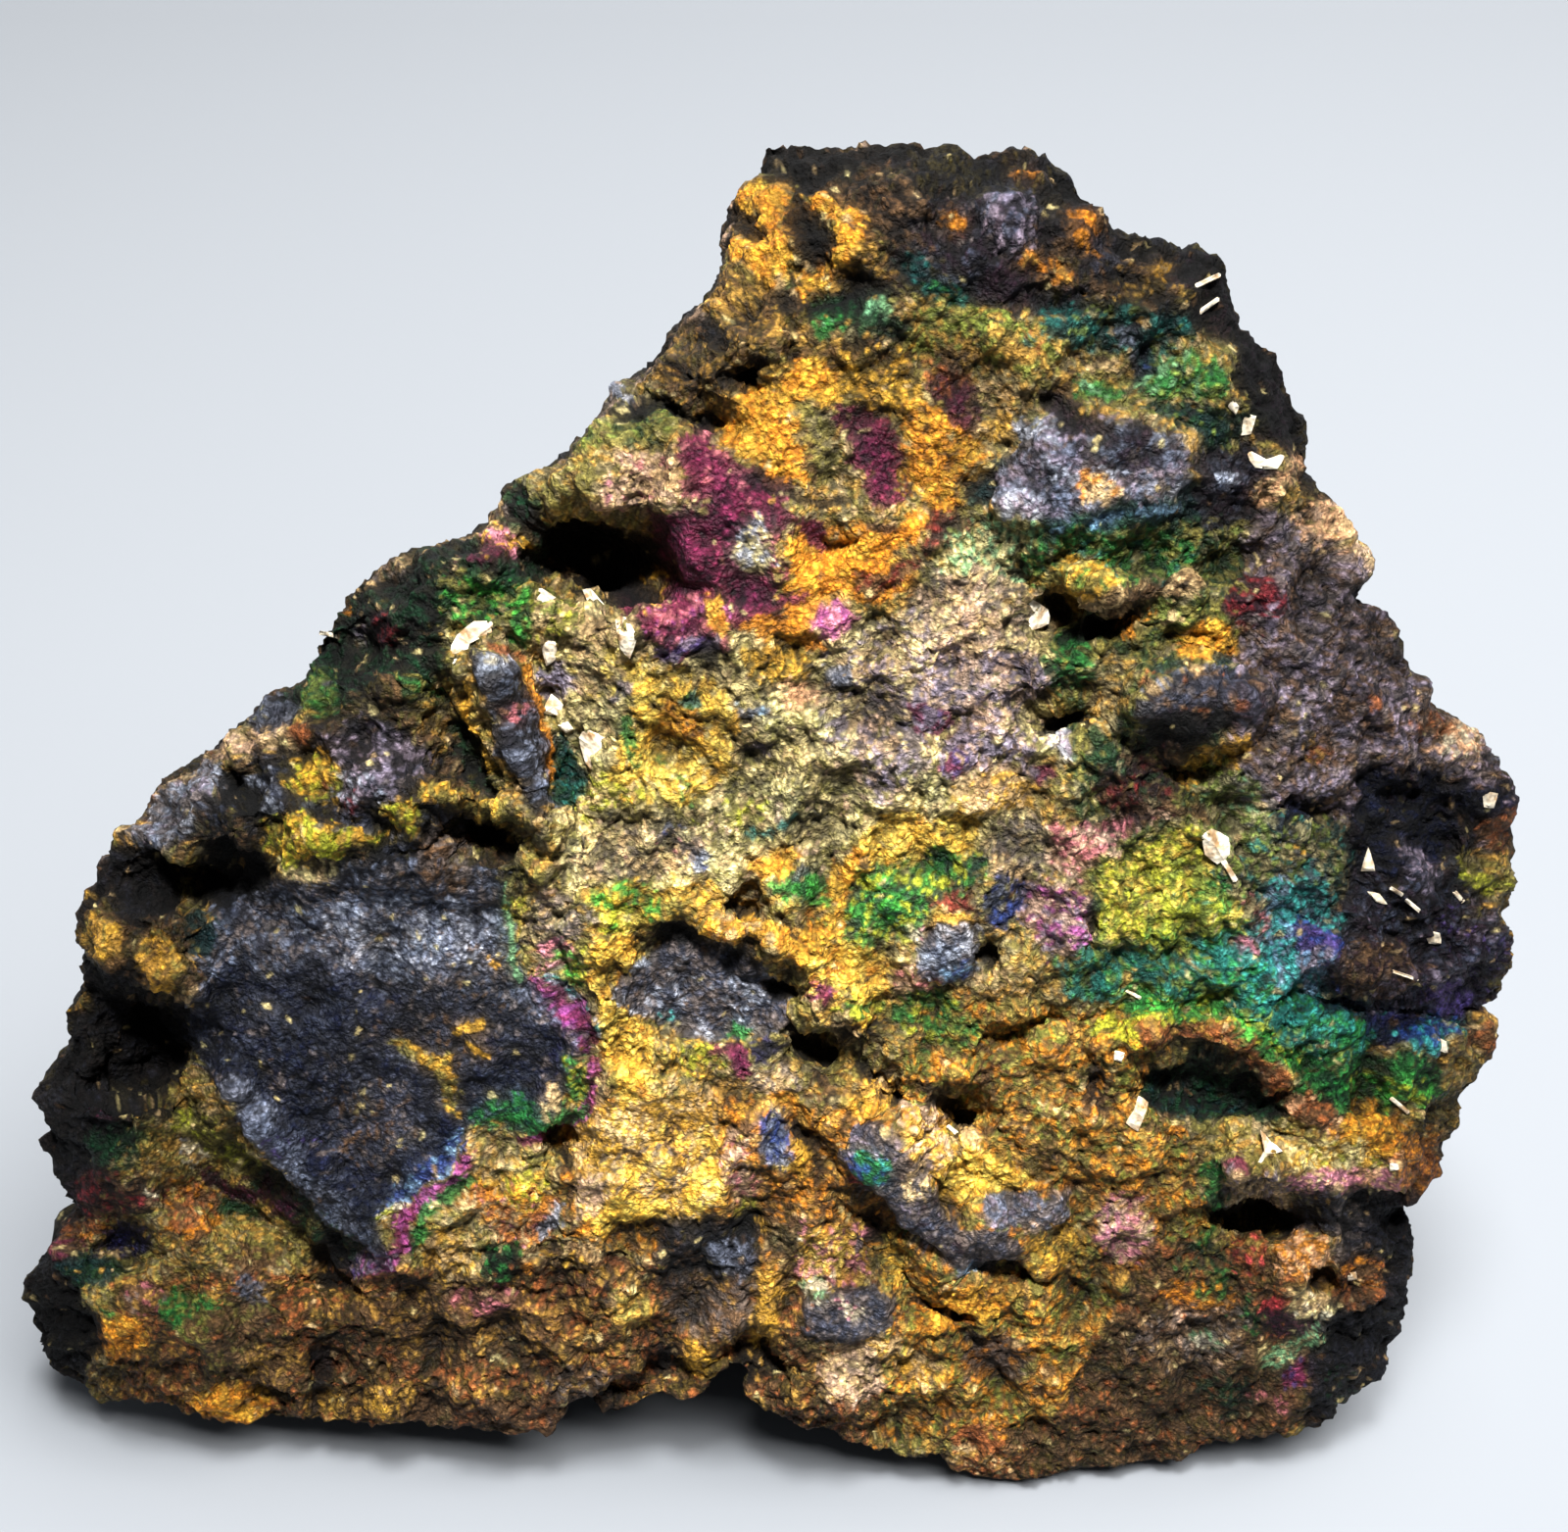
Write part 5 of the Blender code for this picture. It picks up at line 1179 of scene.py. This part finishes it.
def relaxed(values, faces, strength):
    """Each point's values drawn toward the mean of its neighbours'."""
    start = faces[:, [0, 1, 2]].ravel()
    end = faces[:, [1, 2, 0]].ravel()
    count = len(values)
    total = summed_at(start, values[end], count) + summed_at(end, values[start], count)
    mean = total / (np.bincount(start, minlength=count) + np.bincount(end, minlength=count))[:, None]
    return values + (mean - values) * strength


def softened(values, faces, rounds):
    """Each point's values drawn toward its neighbours' again and again."""
    for _ in range(rounds):
        values = relaxed(values, faces, SOFTENING)
    return values


def point_normals(places, faces):
    """The outward direction at each point."""
    a, b, c = places[faces].transpose(1, 0, 2)
    turn = np.cross(b - a, c - a)
    total = summed_at(faces.ravel(), np.repeat(turn, 3, axis=0), len(places))
    return total / np.maximum(np.linalg.norm(total, axis=1), TINY)[:, None]


def dense_base():
    """The solid's surface split finely, with the corners of its big triangles eased."""
    places, faces = solid_arrays()
    for step in range(SPLITS):
        places, faces = split_in_four(places, faces)
        places = relaxed(places, faces, SMOOTHING / (1 + step))
    return places, faces


def tilted(points, middle, number):
    """How far each point lies up its grain's own slope."""
    across, along, up = SLOPE_TURNS
    slope = np.stack([np.cos(number * across), np.sin(number * along), np.cos(number * up + 1)], axis=1)
    return ((points - middle) * slope).sum(axis=1)


def grain_layer(points, size, height, growth, slope, seam, salt):
    """A layer of grains: its relief, how clear of seams each point is, and its grain's middle and number."""
    first, second, middle, number = grains(points, size, salt)
    dome = np.sqrt(np.clip(1 - (first / DOME_REACH) ** 2, 0, 1))
    relief = (dome - DOME_LEVEL) * height * (LEAST_GROWTH + growth * number)
    relief += tilted(points, middle, number) * slope
    return relief, np.clip((second - first) / seam, 0, 1), middle, number


def kept(least, roughness):
    """The share of a relief that stays: least on the calmest crust, all of it on the roughest."""
    return least + (1 - least) * roughness


def crust(base, roughness):
    """The crust at each point: its height, its painted shading (shade in the seams, light on lumps, crags and
    calm plates), and its crumb's middle and number.
    """
    bent = base + noise_vectors(base, *NOISES["bend"]) * BEND
    crags = 1 - 2 * np.abs(rough_noise(base, *NOISES["crags"]))
    lumps = rough_noise(base, *NOISES["lumps"])
    coarse, coarse_clear, _, _ = grain_layer(bent, **GRAINS)
    fine, fine_clear, middle, number = grain_layer(bent, **CRUMBS)
    height = (coarse + fine) * kept(GRAINS_KEPT, roughness)
    height += (crags - CRAG_LEVEL) * CRAG_HEIGHT * kept(CRAGS_KEPT, roughness)
    height += lumps * LUMP_HEIGHT * kept(LUMPS_KEPT, roughness)
    clear = coarse_clear * GRAIN_SEAM_SHARE + fine_clear * CRUMB_SEAM_SHARE
    painted_shading = OPEN_START + OPEN_BY_SEAM * clear + OPEN_BY_LUMP * lumps + OPEN_BY_CRAG * crags * roughness
    return height, np.clip(painted_shading + OPEN_BY_CALM * (1 - roughness), *OPEN_LIMITS), middle, number


CALM = []


def calm(roughness, rise, *corners):
    """An outlined stretch whose crust is flatter than the rest, and stands out by rise."""
    CALM.append((roughness, rise, np.array(corners, dtype=float)))


def calm_on(sheet):
    """How rough the crust is at each point of the sheet, and how far it stands out."""
    rough = np.ones(len(sheet))
    out = np.zeros(len(sheet))
    for amount, rise, corners in CALM:
        inside = inside_area(corners, sheet)
        rough[inside] = amount
        out[inside] = rise
    return rough, out


def plates_on(base, sheet, faces):
    """How rough the crust is at each point and how far it stands out, soft where a plate ends."""
    edge = noise_vectors(base, *NOISES["plate_edge"]) * PLATE_EDGE
    return softened(np.stack(calm_on(sheet + edge), axis=1), faces, PLATE_ROUNDS).T


def pits_in(faces, mineral, roughness):
    """How deep the crust sinks at each point, under the black marks: the pits and cracks painted black as
    shade, and the black crust.
    """
    black = np.isin(mineral, [MINERAL_NAMES.index(name) for name in SUNKEN])
    return SINK * softened((black * roughness)[:, None], faces, PIT_ROUNDS)[:, 0]


def facing_eye(base, outward):
    """How squarely each point faces the eye, from -1 to 1."""
    toward = EYE + SHEET_TO_FRAME - base
    return (outward * toward).sum(axis=1) / np.linalg.norm(toward, axis=1)


def minerals_on(base, sheet, facing, roughness, grain_middle, grain_number):
    """The number of the mineral that each point shows."""
    wobble = rough_noise(base, *NOISES["wobble"])
    drift = rough_noise(base, *NOISES["drift"])
    mark_drift = rough_noise(base, *NOISES["mark_drift"], octaves=2)
    pull = noise_vectors(base, *NOISES["pull"])
    fine = sheet + pull * FINE_PULL
    coarse = to_sheet(grain_middle) + pull * COARSE_PULL
    painted = paint(fine, coarse, wobble, mark_drift, grain_number)
    ground = mixed_minerals(FRONT_GROUND, spread_of(grain_number, drift, FRONT_MIX))
    rock = mixed_minerals(BACK_GROUND, spread_of(grain_number, drift, BACK_MIX))
    mineral = np.where(painted >= 0, painted, ground)
    mineral = np.where(facing < BACK_FACING + BACK_WOBBLE * wobble, rock, mineral)
    # Speckled grains: black as painted shade in gaps, pale cream as painted glints, the rest mineral colour.
    glint = redrawn(grain_number, DICE["glint"])
    specked = (glint < SPECKLE * roughness) & (facing > 0)
    return np.where(specked, mixed_minerals(SPECKLES, glint / SPECKLE), mineral)


def skin(base, faces, mineral, grain_number, painted_shading):
    """The colour with its painted shading, the metal and the roughness of each point."""
    finish = np.array([[*srgb_to_linear(colour), metal, rough] for colour, metal, rough in MINERALS.values()])
    sharp = finish[mineral]
    blended = sharp * (1 - BLEND) + softened(sharp, faces, BLEND_ROUNDS) * BLEND
    fleck = smooth_noise(base, *NOISES["fleck"])
    level = LEVEL + LEVEL_BY_GRAIN * redrawn(grain_number, DICE["level"]) + LEVEL_BY_FLECK * fleck
    warmth = WARMTH * smooth_noise(base, *NOISES["warmth"])
    warmth += WARMTH_BY_GRAIN * (redrawn(grain_number, DICE["warmth"]) - 0.5)
    tint = np.stack([1 + warmth, np.ones(len(warmth)), 1 - warmth], axis=1)
    colour = blended[:, :3] ** CONTRAST * level[:, None] * tint
    # Painted shade in the seams between grains, painted light on lumps, crags and calm plates.
    colour *= (SHADE + SHADE_BY_OPENNESS * painted_shading**2)[:, None]
    return colour, blended[:, 3], np.clip(blended[:, 4] + ROUGH_MORE + ROUGH_BY_FLECK * fleck, *ROUGH_LIMITS)


def surface_piece(name, places, faces, normals, colour, metal, rough):
    """One piece of the dense surface, with its colour and gloss kept at its points."""
    used, corner = np.unique(faces, return_inverse=True)
    mesh = bpy.data.meshes.new(name)
    mesh.vertices.add(len(used))
    mesh.vertices.foreach_set("co", (places[used] * MM).ravel())
    mesh.loops.add(faces.size)
    mesh.loops.foreach_set("vertex_index", corner.ravel().astype(np.int32))
    mesh.polygons.add(len(faces))
    mesh.polygons.foreach_set("loop_start", np.arange(0, faces.size, 3, dtype=np.int32))
    mesh.update(calc_edges=True)
    tint = np.concatenate([colour[used], np.ones((len(used), 1))], axis=1)
    mesh.attributes.new("tint", "FLOAT_COLOR", "POINT").data.foreach_set("color", tint.ravel())
    mesh.attributes.new("metal", "FLOAT", "POINT").data.foreach_set("value", metal[used])
    mesh.attributes.new("rough", "FLOAT", "POINT").data.foreach_set("value", rough[used])
    mesh.shade_smooth()
    mesh.normals_split_custom_set_from_vertices(normals[used])
    mesh.validate()
    return placed(name, mesh)


def placed(name, data):
    """A new object in the scene that shows a mesh, a light or a camera."""
    made = bpy.data.objects.new(name, data)
    bpy.context.scene.collection.objects.link(made)
    return made


def dress(piece, material):
    """Fastens a piece to the stone's body and gives it its finish."""
    piece.data.materials.append(material)
    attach(piece, "root")


def dealt_out(base, faces, facing):
    """The number of each triangle's piece: the front in upright strips, and the back as the last."""
    behind = facing[faces].mean(axis=1) < BEHIND
    across = base[faces, 0].mean(axis=1)
    borders = np.quantile(across[~behind], np.linspace(0, 1, PIECE_COUNT)[1:-1])
    return np.where(behind, PIECE_COUNT - 1, np.searchsorted(borders, across))


def build_stone():
    """The dense stone in a few pieces that meet edge to edge; returns its points and triangles."""
    base, faces = dense_base()
    outward = point_normals(base, faces)
    sheet = to_sheet(base)
    facing = facing_eye(base, outward)
    roughness, rise = plates_on(base, sheet, faces)
    height, painted_shading, grain_middle, grain_number = crust(base, roughness)
    mineral = minerals_on(base, sheet, facing, roughness, grain_middle, grain_number)
    height += rise * np.clip(facing * RISE_RAMP, 0, 1) - pits_in(faces, mineral, roughness)
    height *= np.where(base[:, 2] < FOOT_TOP, FOOT_SHARE, 1.0)
    places = base + outward * height[:, None]
    places[:, 2] = np.maximum(places[:, 2], 0.0)
    finish = skin(base, faces, mineral, grain_number, painted_shading)
    normals = point_normals(places, faces)
    group = dealt_out(base, faces, facing)
    material = stone_material()
    for number in range(PIECE_COUNT):
        piece = surface_piece(f"stone_{number + 1}", places, faces[group == number], normals, *finish)
        dress(piece, material)
        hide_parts(STONE)
    return places, faces


# Pale crystal flakes set in the crust, as outlines on the sheet, and their thin slivers.
FLAKES = [
    [(17.3, 77.6), (18.2, 78.3), (19.7, 77.4), (19.8, 76.3), (18.6, 75.8), (17.8, 76.6)],
    [(-15, 78.9), (-14.4, 79), (-13.3, 77.6), (-13.5, 77.2), (-14.6, 77.9)],
    [(-12.6, 76.6), (-11.9, 76.8), (-11, 75.3), (-11.6, 73.6), (-12.3, 74.4)],
    [(-19.6, 79), (-18, 79), (-17, 78.3), (-18, 77.9)],
    [(-18.3, 75), (-17, 74.9), (-17.2, 73.5), (-17.9, 73)],
    [(-18.3, 69.3), (-17.6, 70.8), (-16.7, 69.9), (-17.2, 69.1)],
    [(-17.2, 68.3), (-16.4, 68.6), (-16, 68), (-16.6, 67.7)],
    [(-15.6, 67.3), (-14.8, 67.9), (-13.5, 67.2), (-12.6, 66.2), (-13, 65), (-14.8, 64.8), (-15.3, 65.8)],
    [(32.5, 93.2), (33, 92.6), (32.8, 92), (32.2, 92.6)],
    [(33.4, 92.1), (34.3, 91.9), (34, 90.6), (33.3, 90.5)],
    [(32.3, 59.3), (33, 59.9), (34.3, 59.2), (34.5, 57.8), (33.6, 57), (32.6, 57.8)],
    [(45.2, 58.4), (45.6, 57.4), (45.9, 56.4), (44.8, 56.4)],
    [(45.4, 54.7), (46.4, 54.5), (47.1, 53.6), (46.2, 53.8)],
    [(50.2, 51.4), (51.4, 51.2), (51.6, 50.3), (50.6, 50.3)],
    [(53.6, 63), (54.8, 62.8), (54.6, 61.6), (53.8, 61.7)],
    [(52, 42.2), (52.8, 41.8), (53, 40.8), (52.3, 41)],
    [(26.4, 41), (27.2, 40.8), (27, 40), (26.4, 40.2)],
    [(28.5, 37), (29.3, 36.4), (29, 35), (28.6, 33.8), (27.6, 34.6), (28.2, 35.7)],
    [(38.5, 33.9), (39.3, 33), (40.4, 32), (39.2, 31.6), (38.6, 30.3), (38.2, 30.4), (38.9, 32)],
    [(49.2, 30.9), (49.9, 30.9), (50, 30.3), (49.3, 30.2)],
    [(46.6, 20.7), (47.3, 20.8), (47.4, 20.1), (46.7, 20)],
]
SLIVERS = [
    (0.5, (-24.6, 72.8), (-24.6, 73.8), (-24.1, 75.1), (-23, 76), (-21.6, 76.1)),
    (0.28, (28.3, 100.7), (31, 102)),
    (0.28, (29, 98.8), (31, 100.3)),
    (0.3, (34, 89.2), (34.6, 88.4), (36, 88.3), (36.4, 89)),
    (0.35, (33.9, 57.5), (35.1, 55.6)),
    (0.25, (47.2, 55), (48.2, 54.4)),
    (0.25, (48.5, 54), (49.7, 53)),
    (0.3, (52.1, 54.8), (53, 53.8)),
    (0.22, (47.7, 48), (50, 47.2)),
    (0.25, (27, 46.3), (28.2, 45.6)),
    (0.3, (13.2, 34.3), (14, 33.6)),
    (0.28, (48.8, 36.8), (50.3, 35.5)),
    (0.28, (-34.8, 75.6), (-33.4, 75.3)),
]


def sliver_outline(half, run):
    """The outline of a thin run of points, narrower at both ends."""
    run = np.array(run, dtype=float)
    along = np.gradient(run, axis=0)
    across = np.stack([-along[:, 1], along[:, 0]], axis=1) / np.linalg.norm(along, axis=1)[:, None]
    width = np.full((len(run), 1), half)
    width[[0, -1]] *= SLIVER_TIP
    return np.concatenate([run + across * width, (run - across * width)[::-1]])


def rounded_outline(outline):
    """An outline with a slightly uneven point added on each side."""
    outline = np.asarray(outline, dtype=float)
    middles = (outline + np.roll(outline, -1, axis=0)) / 2
    nudge = smooth_noise(np.column_stack([middles, middles[:, :1]]), *NOISES["flake_edge"])
    middles += (middles - outline.mean(axis=0)) * (FLAKE_BULGE + FLAKE_UNEVEN * nudge)[:, None]
    return np.stack([outline, middles], axis=1).reshape(-1, 2)


def on_stone(tree, at):
    """The place, in mm in the frame, where the eye sees the stone behind a point of the sheet."""
    eye = Vector(EYE + SHEET_TO_FRAME)
    ray = (Vector(from_sheet(*at)) - eye).normalized()
    place = tree.ray_cast(eye, ray)[0]
    return np.array(place if place else from_sheet(*at))


def flake_points(tree, outline):
    """A flake's root ring, its rim, the ring of its top, and the middles of its root and its top."""
    centre = outline.mean(axis=0)
    middle = on_stone(tree, centre)
    draped = np.array([on_stone(tree, at) for at in outline]) - middle
    flat = np.array([from_sheet(*at) for at in outline]) - from_sheet(*centre)
    ring = middle + draped * FLAKE_DRAPE + flat * (1 - FLAKE_DRAPE)
    away = EYE + SHEET_TO_FRAME - middle
    toward = away / np.linalg.norm(away)
    top = middle + (ring - middle) * FLAKE_TOP
    tilt = FLAKE_TILT * smooth_noise(ring, *NOISES["flake_tilt"])[:, None]
    root = ring - toward * FLAKE_ROOT
    rim = ring + toward * FLAKE_RISE * FLAKE_RIM
    top += toward * (FLAKE_RISE + tilt)
    return [*root, *rim, *top, middle - toward * FLAKE_ROOT, middle + toward * FLAKE_RISE * FLAKE_PEAK]


def flake_faces(start, count):
    """A flake's sides, the slope up to its top, its top and its root, with its points counted from start."""
    low, rim, top = start, start + count, start + 2 * count
    faces = []
    for k in range(count):
        n = (k + 1) % count
        faces += [(low + k, low + n, rim + n, rim + k), (rim + k, rim + n, top + n, top + k),
                  (top + k, top + n, top + count + 1), (low + n, low + k, top + count)]
    return faces


def build_flakes(places, faces):
    """Every flake and sliver as a low closed chip, rooted in the crust."""
    tree = BVHTree.FromPolygons(places.tolist(), faces.tolist())
    points = []
    polygons = []
    for outline in FLAKES + [sliver_outline(half, run) for half, *run in SLIVERS]:
        outline = rounded_outline(outline)
        polygons += flake_faces(len(points), len(outline))
        points += flake_points(tree, outline)
    mesh = bpy.data.meshes.new("flakes")
    mesh.from_pydata(np.array(points) * MM, [], polygons)
    shape = bmesh.new()
    shape.from_mesh(mesh)
    bmesh.ops.recalc_face_normals(shape, faces=shape.faces)
    shape.to_mesh(mesh)
    shape.free()
    dress(placed("flakes", mesh), flake_material())


# Materials.
def new_material(name, settings):
    """A material with its shader's own settings filled in; returns its node tree and shader as well."""
    material = bpy.data.materials.new(name)
    material.use_nodes = True
    shader = material.node_tree.nodes["Principled BSDF"]
    for key, value in settings.items():
        shader.inputs[key].default_value = value
    return material, material.node_tree, shader


def node(tree, kind, **settings):
    """A new node with its settings and its unlinked inputs filled in."""
    made = tree.nodes.new(kind)
    for key, value in settings.items():
        if key in made.inputs:
            made.inputs[key].default_value = value
        else:
            setattr(made, key, value)
    return made


def map_range(tree, low, high, to_low, to_high):
    """A node that turns one range of values into another."""
    settings = {"From Min": low, "From Max": high, "To Min": to_low, "To Max": to_high}
    return node(tree, "ShaderNodeMapRange", **settings)


def colour_ramp(tree, low, high, start=0.0, end=1.0):
    """A node that runs from one colour to another."""
    ramp = node(tree, "ShaderNodeValToRGB")
    for stop, place, colour in zip(ramp.color_ramp.elements, (start, end), (low, high)):
        stop.position = place
        stop.color = (*srgb_to_linear(colour), 1)
    return ramp


def join(tree, *links):
    """Each link leads from a node's output to another node's input."""
    for source, output, target, entry in links:
        tree.links.new(source.outputs[output], target.inputs[entry])


def stone_material():
    """Painted mineral with fine flecks, painted light on each crystal's middle and painted shade at its edges,
    and a bump of pores and crystals too small for the mesh.
    """
    material, tree, shader = new_material("goethite_skin", {"Specular IOR Level": 0.16})
    tint, metal, rough = [node(tree, "ShaderNodeAttribute", attribute_name=name)
                          for name in ("tint", "metal", "rough")]
    place = node(tree, "ShaderNodeTexCoord")
    fleck = node(tree, "ShaderNodeTexNoise", Scale=FLECKS, Detail=3.0, Roughness=0.6)
    flecked_by = map_range(tree, low=0.3, high=0.7, to_low=0.7, to_high=1.3)
    flecked = node(tree, "ShaderNodeVectorMath", operation="MULTIPLY")
    drift = node(tree, "ShaderNodeTexNoise", Scale=CRYSTAL_BEND)
    bent = node(tree, "ShaderNodeVectorMath", operation="MULTIPLY_ADD")
    bent.inputs[1].default_value = (CRYSTAL_BEND_REACH,) * 3
    crystal = node(tree, "ShaderNodeTexVoronoi", Scale=CRYSTALS)
    # Painted light and shade: each crystal lighter in its middle, darker toward its edges.
    crystal_shade_by = map_range(tree, low=0.12, high=0.6, to_low=1.38, to_high=0.55)
    crystal_shaded = node(tree, "ShaderNodeVectorMath", operation="MULTIPLY")
    relief = node(tree, "ShaderNodeMath", operation="SUBTRACT")
    bump = node(tree, "ShaderNodeBump", Strength=0.8, Distance=0.0004)
    join(tree, (place, "Object", fleck, "Vector"), (place, "Object", drift, "Vector"),
         (drift, "Color", bent, 0), (place, "Object", bent, 2), (bent, "Vector", crystal, "Vector"),
         (fleck, "Fac", flecked_by, "Value"), (tint, "Color", flecked, 0), (flecked_by, "Result", flecked, 1),
         (crystal, "Distance", crystal_shade_by, "Value"), (flecked, "Vector", crystal_shaded, 0),
         (crystal_shade_by, "Result", crystal_shaded, 1), (crystal_shaded, "Vector", shader, "Base Color"),
         (metal, "Fac", shader, "Metallic"), (rough, "Fac", shader, "Roughness"),
         (fleck, "Fac", relief, 0), (crystal, "Distance", relief, 1), (relief, "Value", bump, "Height"),
         (bump, "Normal", shader, "Normal"))
    return material


def flake_material():
    """Milky cream crystal with yellow stains and small chips."""
    material, tree, shader = new_material("pale_flake", {"Roughness": 0.4})
    place = node(tree, "ShaderNodeTexCoord")
    stain = node(tree, "ShaderNodeTexNoise", Scale=STAINS, Detail=4.0)
    ramp = colour_ramp(tree, STAIN_COLOUR, MILK_COLOUR, start=0.34, end=0.56)
    chips = node(tree, "ShaderNodeTexVoronoi", Scale=CHIPS)
    bump = node(tree, "ShaderNodeBump", Strength=0.4, Distance=0.0002)
    join(tree, (place, "Object", stain, "Vector"), (place, "Object", chips, "Vector"),
         (stain, "Fac", ramp, "Fac"), (ramp, "Color", shader, "Base Color"),
         (chips, "Distance", bump, "Height"), (bump, "Normal", shader, "Normal"))
    return material


def paper_material():
    """Pale matt paper with a faint mottle."""
    material, tree, shader = new_material("floor_paper", {"Roughness": 0.95, "Specular IOR Level": 0.2})
    mottle = node(tree, "ShaderNodeTexNoise", Scale=PAPER_MOTTLE)
    ramp = colour_ramp(tree, PAPER_LOW, PAPER_HIGH)
    join(tree, (mottle, "Fac", ramp, "Fac"), (ramp, "Color", shader, "Base Color"))
    return material


# Stage, light and camera.
def build_floor():
    """A pale sheet that curves up behind the stone."""
    verts = [(side * FLOOR_HALF, y, z) for y, z in FLOOR_RUN for side in (-1, 1)]
    faces = [(2 * k, 2 * k + 1, 2 * k + 3, 2 * k + 2) for k in range(len(FLOOR_RUN) - 1)]
    mesh = bpy.data.meshes.new("floor")
    mesh.from_pydata(verts, [], faces)
    mesh.shade_smooth()
    floor = placed("floor", mesh)
    mesh.materials.append(paper_material())
    return floor


def aimed_light(name, data, place, target, power, colour):
    """A light at a place, turned toward a target, all in metres."""
    data.energy = power
    data.color = colour
    light = placed(name, data)
    light.location = place
    x, y, z = np.array(place) - np.array(target)
    light.rotation_euler = (math.atan2(math.hypot(x, y), z), 0, math.atan2(x, -y))
    return light


def area_light(name, place, target, size, power, colour):
    """A soft square light."""
    data = bpy.data.lights.new(name, "AREA")
    data.size = size
    return aimed_light(name, data, place, target, power, colour)


def spot_light(name, place, target, radius, power, spread, colour):
    """A cone of light, spread so many degrees, that fades softly to its edge."""
    data = bpy.data.lights.new(name, "SPOT")
    data.shadow_soft_size = radius
    data.spot_size = math.radians(spread)
    data.spot_blend = 1.0
    return aimed_light(name, data, place, target, power, colour)


def keep_to(name, pieces, *lights):
    """Lets lights reach these pieces alone."""
    lit = bpy.data.collections.new(name)
    for piece in pieces:
        lit.objects.link(piece)
    for light in lights:
        light.light_linking.receiver_collection = lit


def build_world():
    """Even grey-blue light from all round."""
    world = bpy.data.worlds.new("soft_room")
    bpy.context.scene.world = world
    world.use_nodes = True
    sky = world.node_tree.nodes["Background"]
    sky.inputs["Color"].default_value = (*srgb_to_linear(WORLD_COLOUR), 1)
    sky.inputs["Strength"].default_value = WORLD_STRENGTH


def build_camera():
    """The photo's viewpoint, from above the front."""
    data = bpy.data.cameras.new("camera")
    data.lens = CAMERA_LENS
    data.sensor_width = SENSOR
    data.clip_start = CAMERA_NEAR
    camera = placed("camera", data)
    camera.location = (EYE + SHEET_TO_FRAME) * MM
    camera.rotation_euler = (math.radians(90) - CAMERA_DROP, 0, 0)
    bpy.context.scene.camera = camera


build_camera()
build_world()
floor = build_floor()
# The paper is lit by a wide light of its own, which the stone still shades.
keep_to("paper_only", [floor], area_light("paper_light", **PAPER_LIGHT))
area_light("overhead", **OVERHEAD)
centre = spot_light("centre", **CENTRE)
bpy.context.scene.view_settings.view_transform = "Standard"
paint_all()
flatten_plates()
build_flakes(*build_stone())
back = area_light("back", **BACK)
# These two light the stone alone, so that they leave no pool on the paper.
stone_names = [f"stone_{number + 1}" for number in range(PIECE_COUNT)]
keep_to("stone_only", [bpy.data.objects[name] for name in [*stone_names, "flakes"]], centre, back)
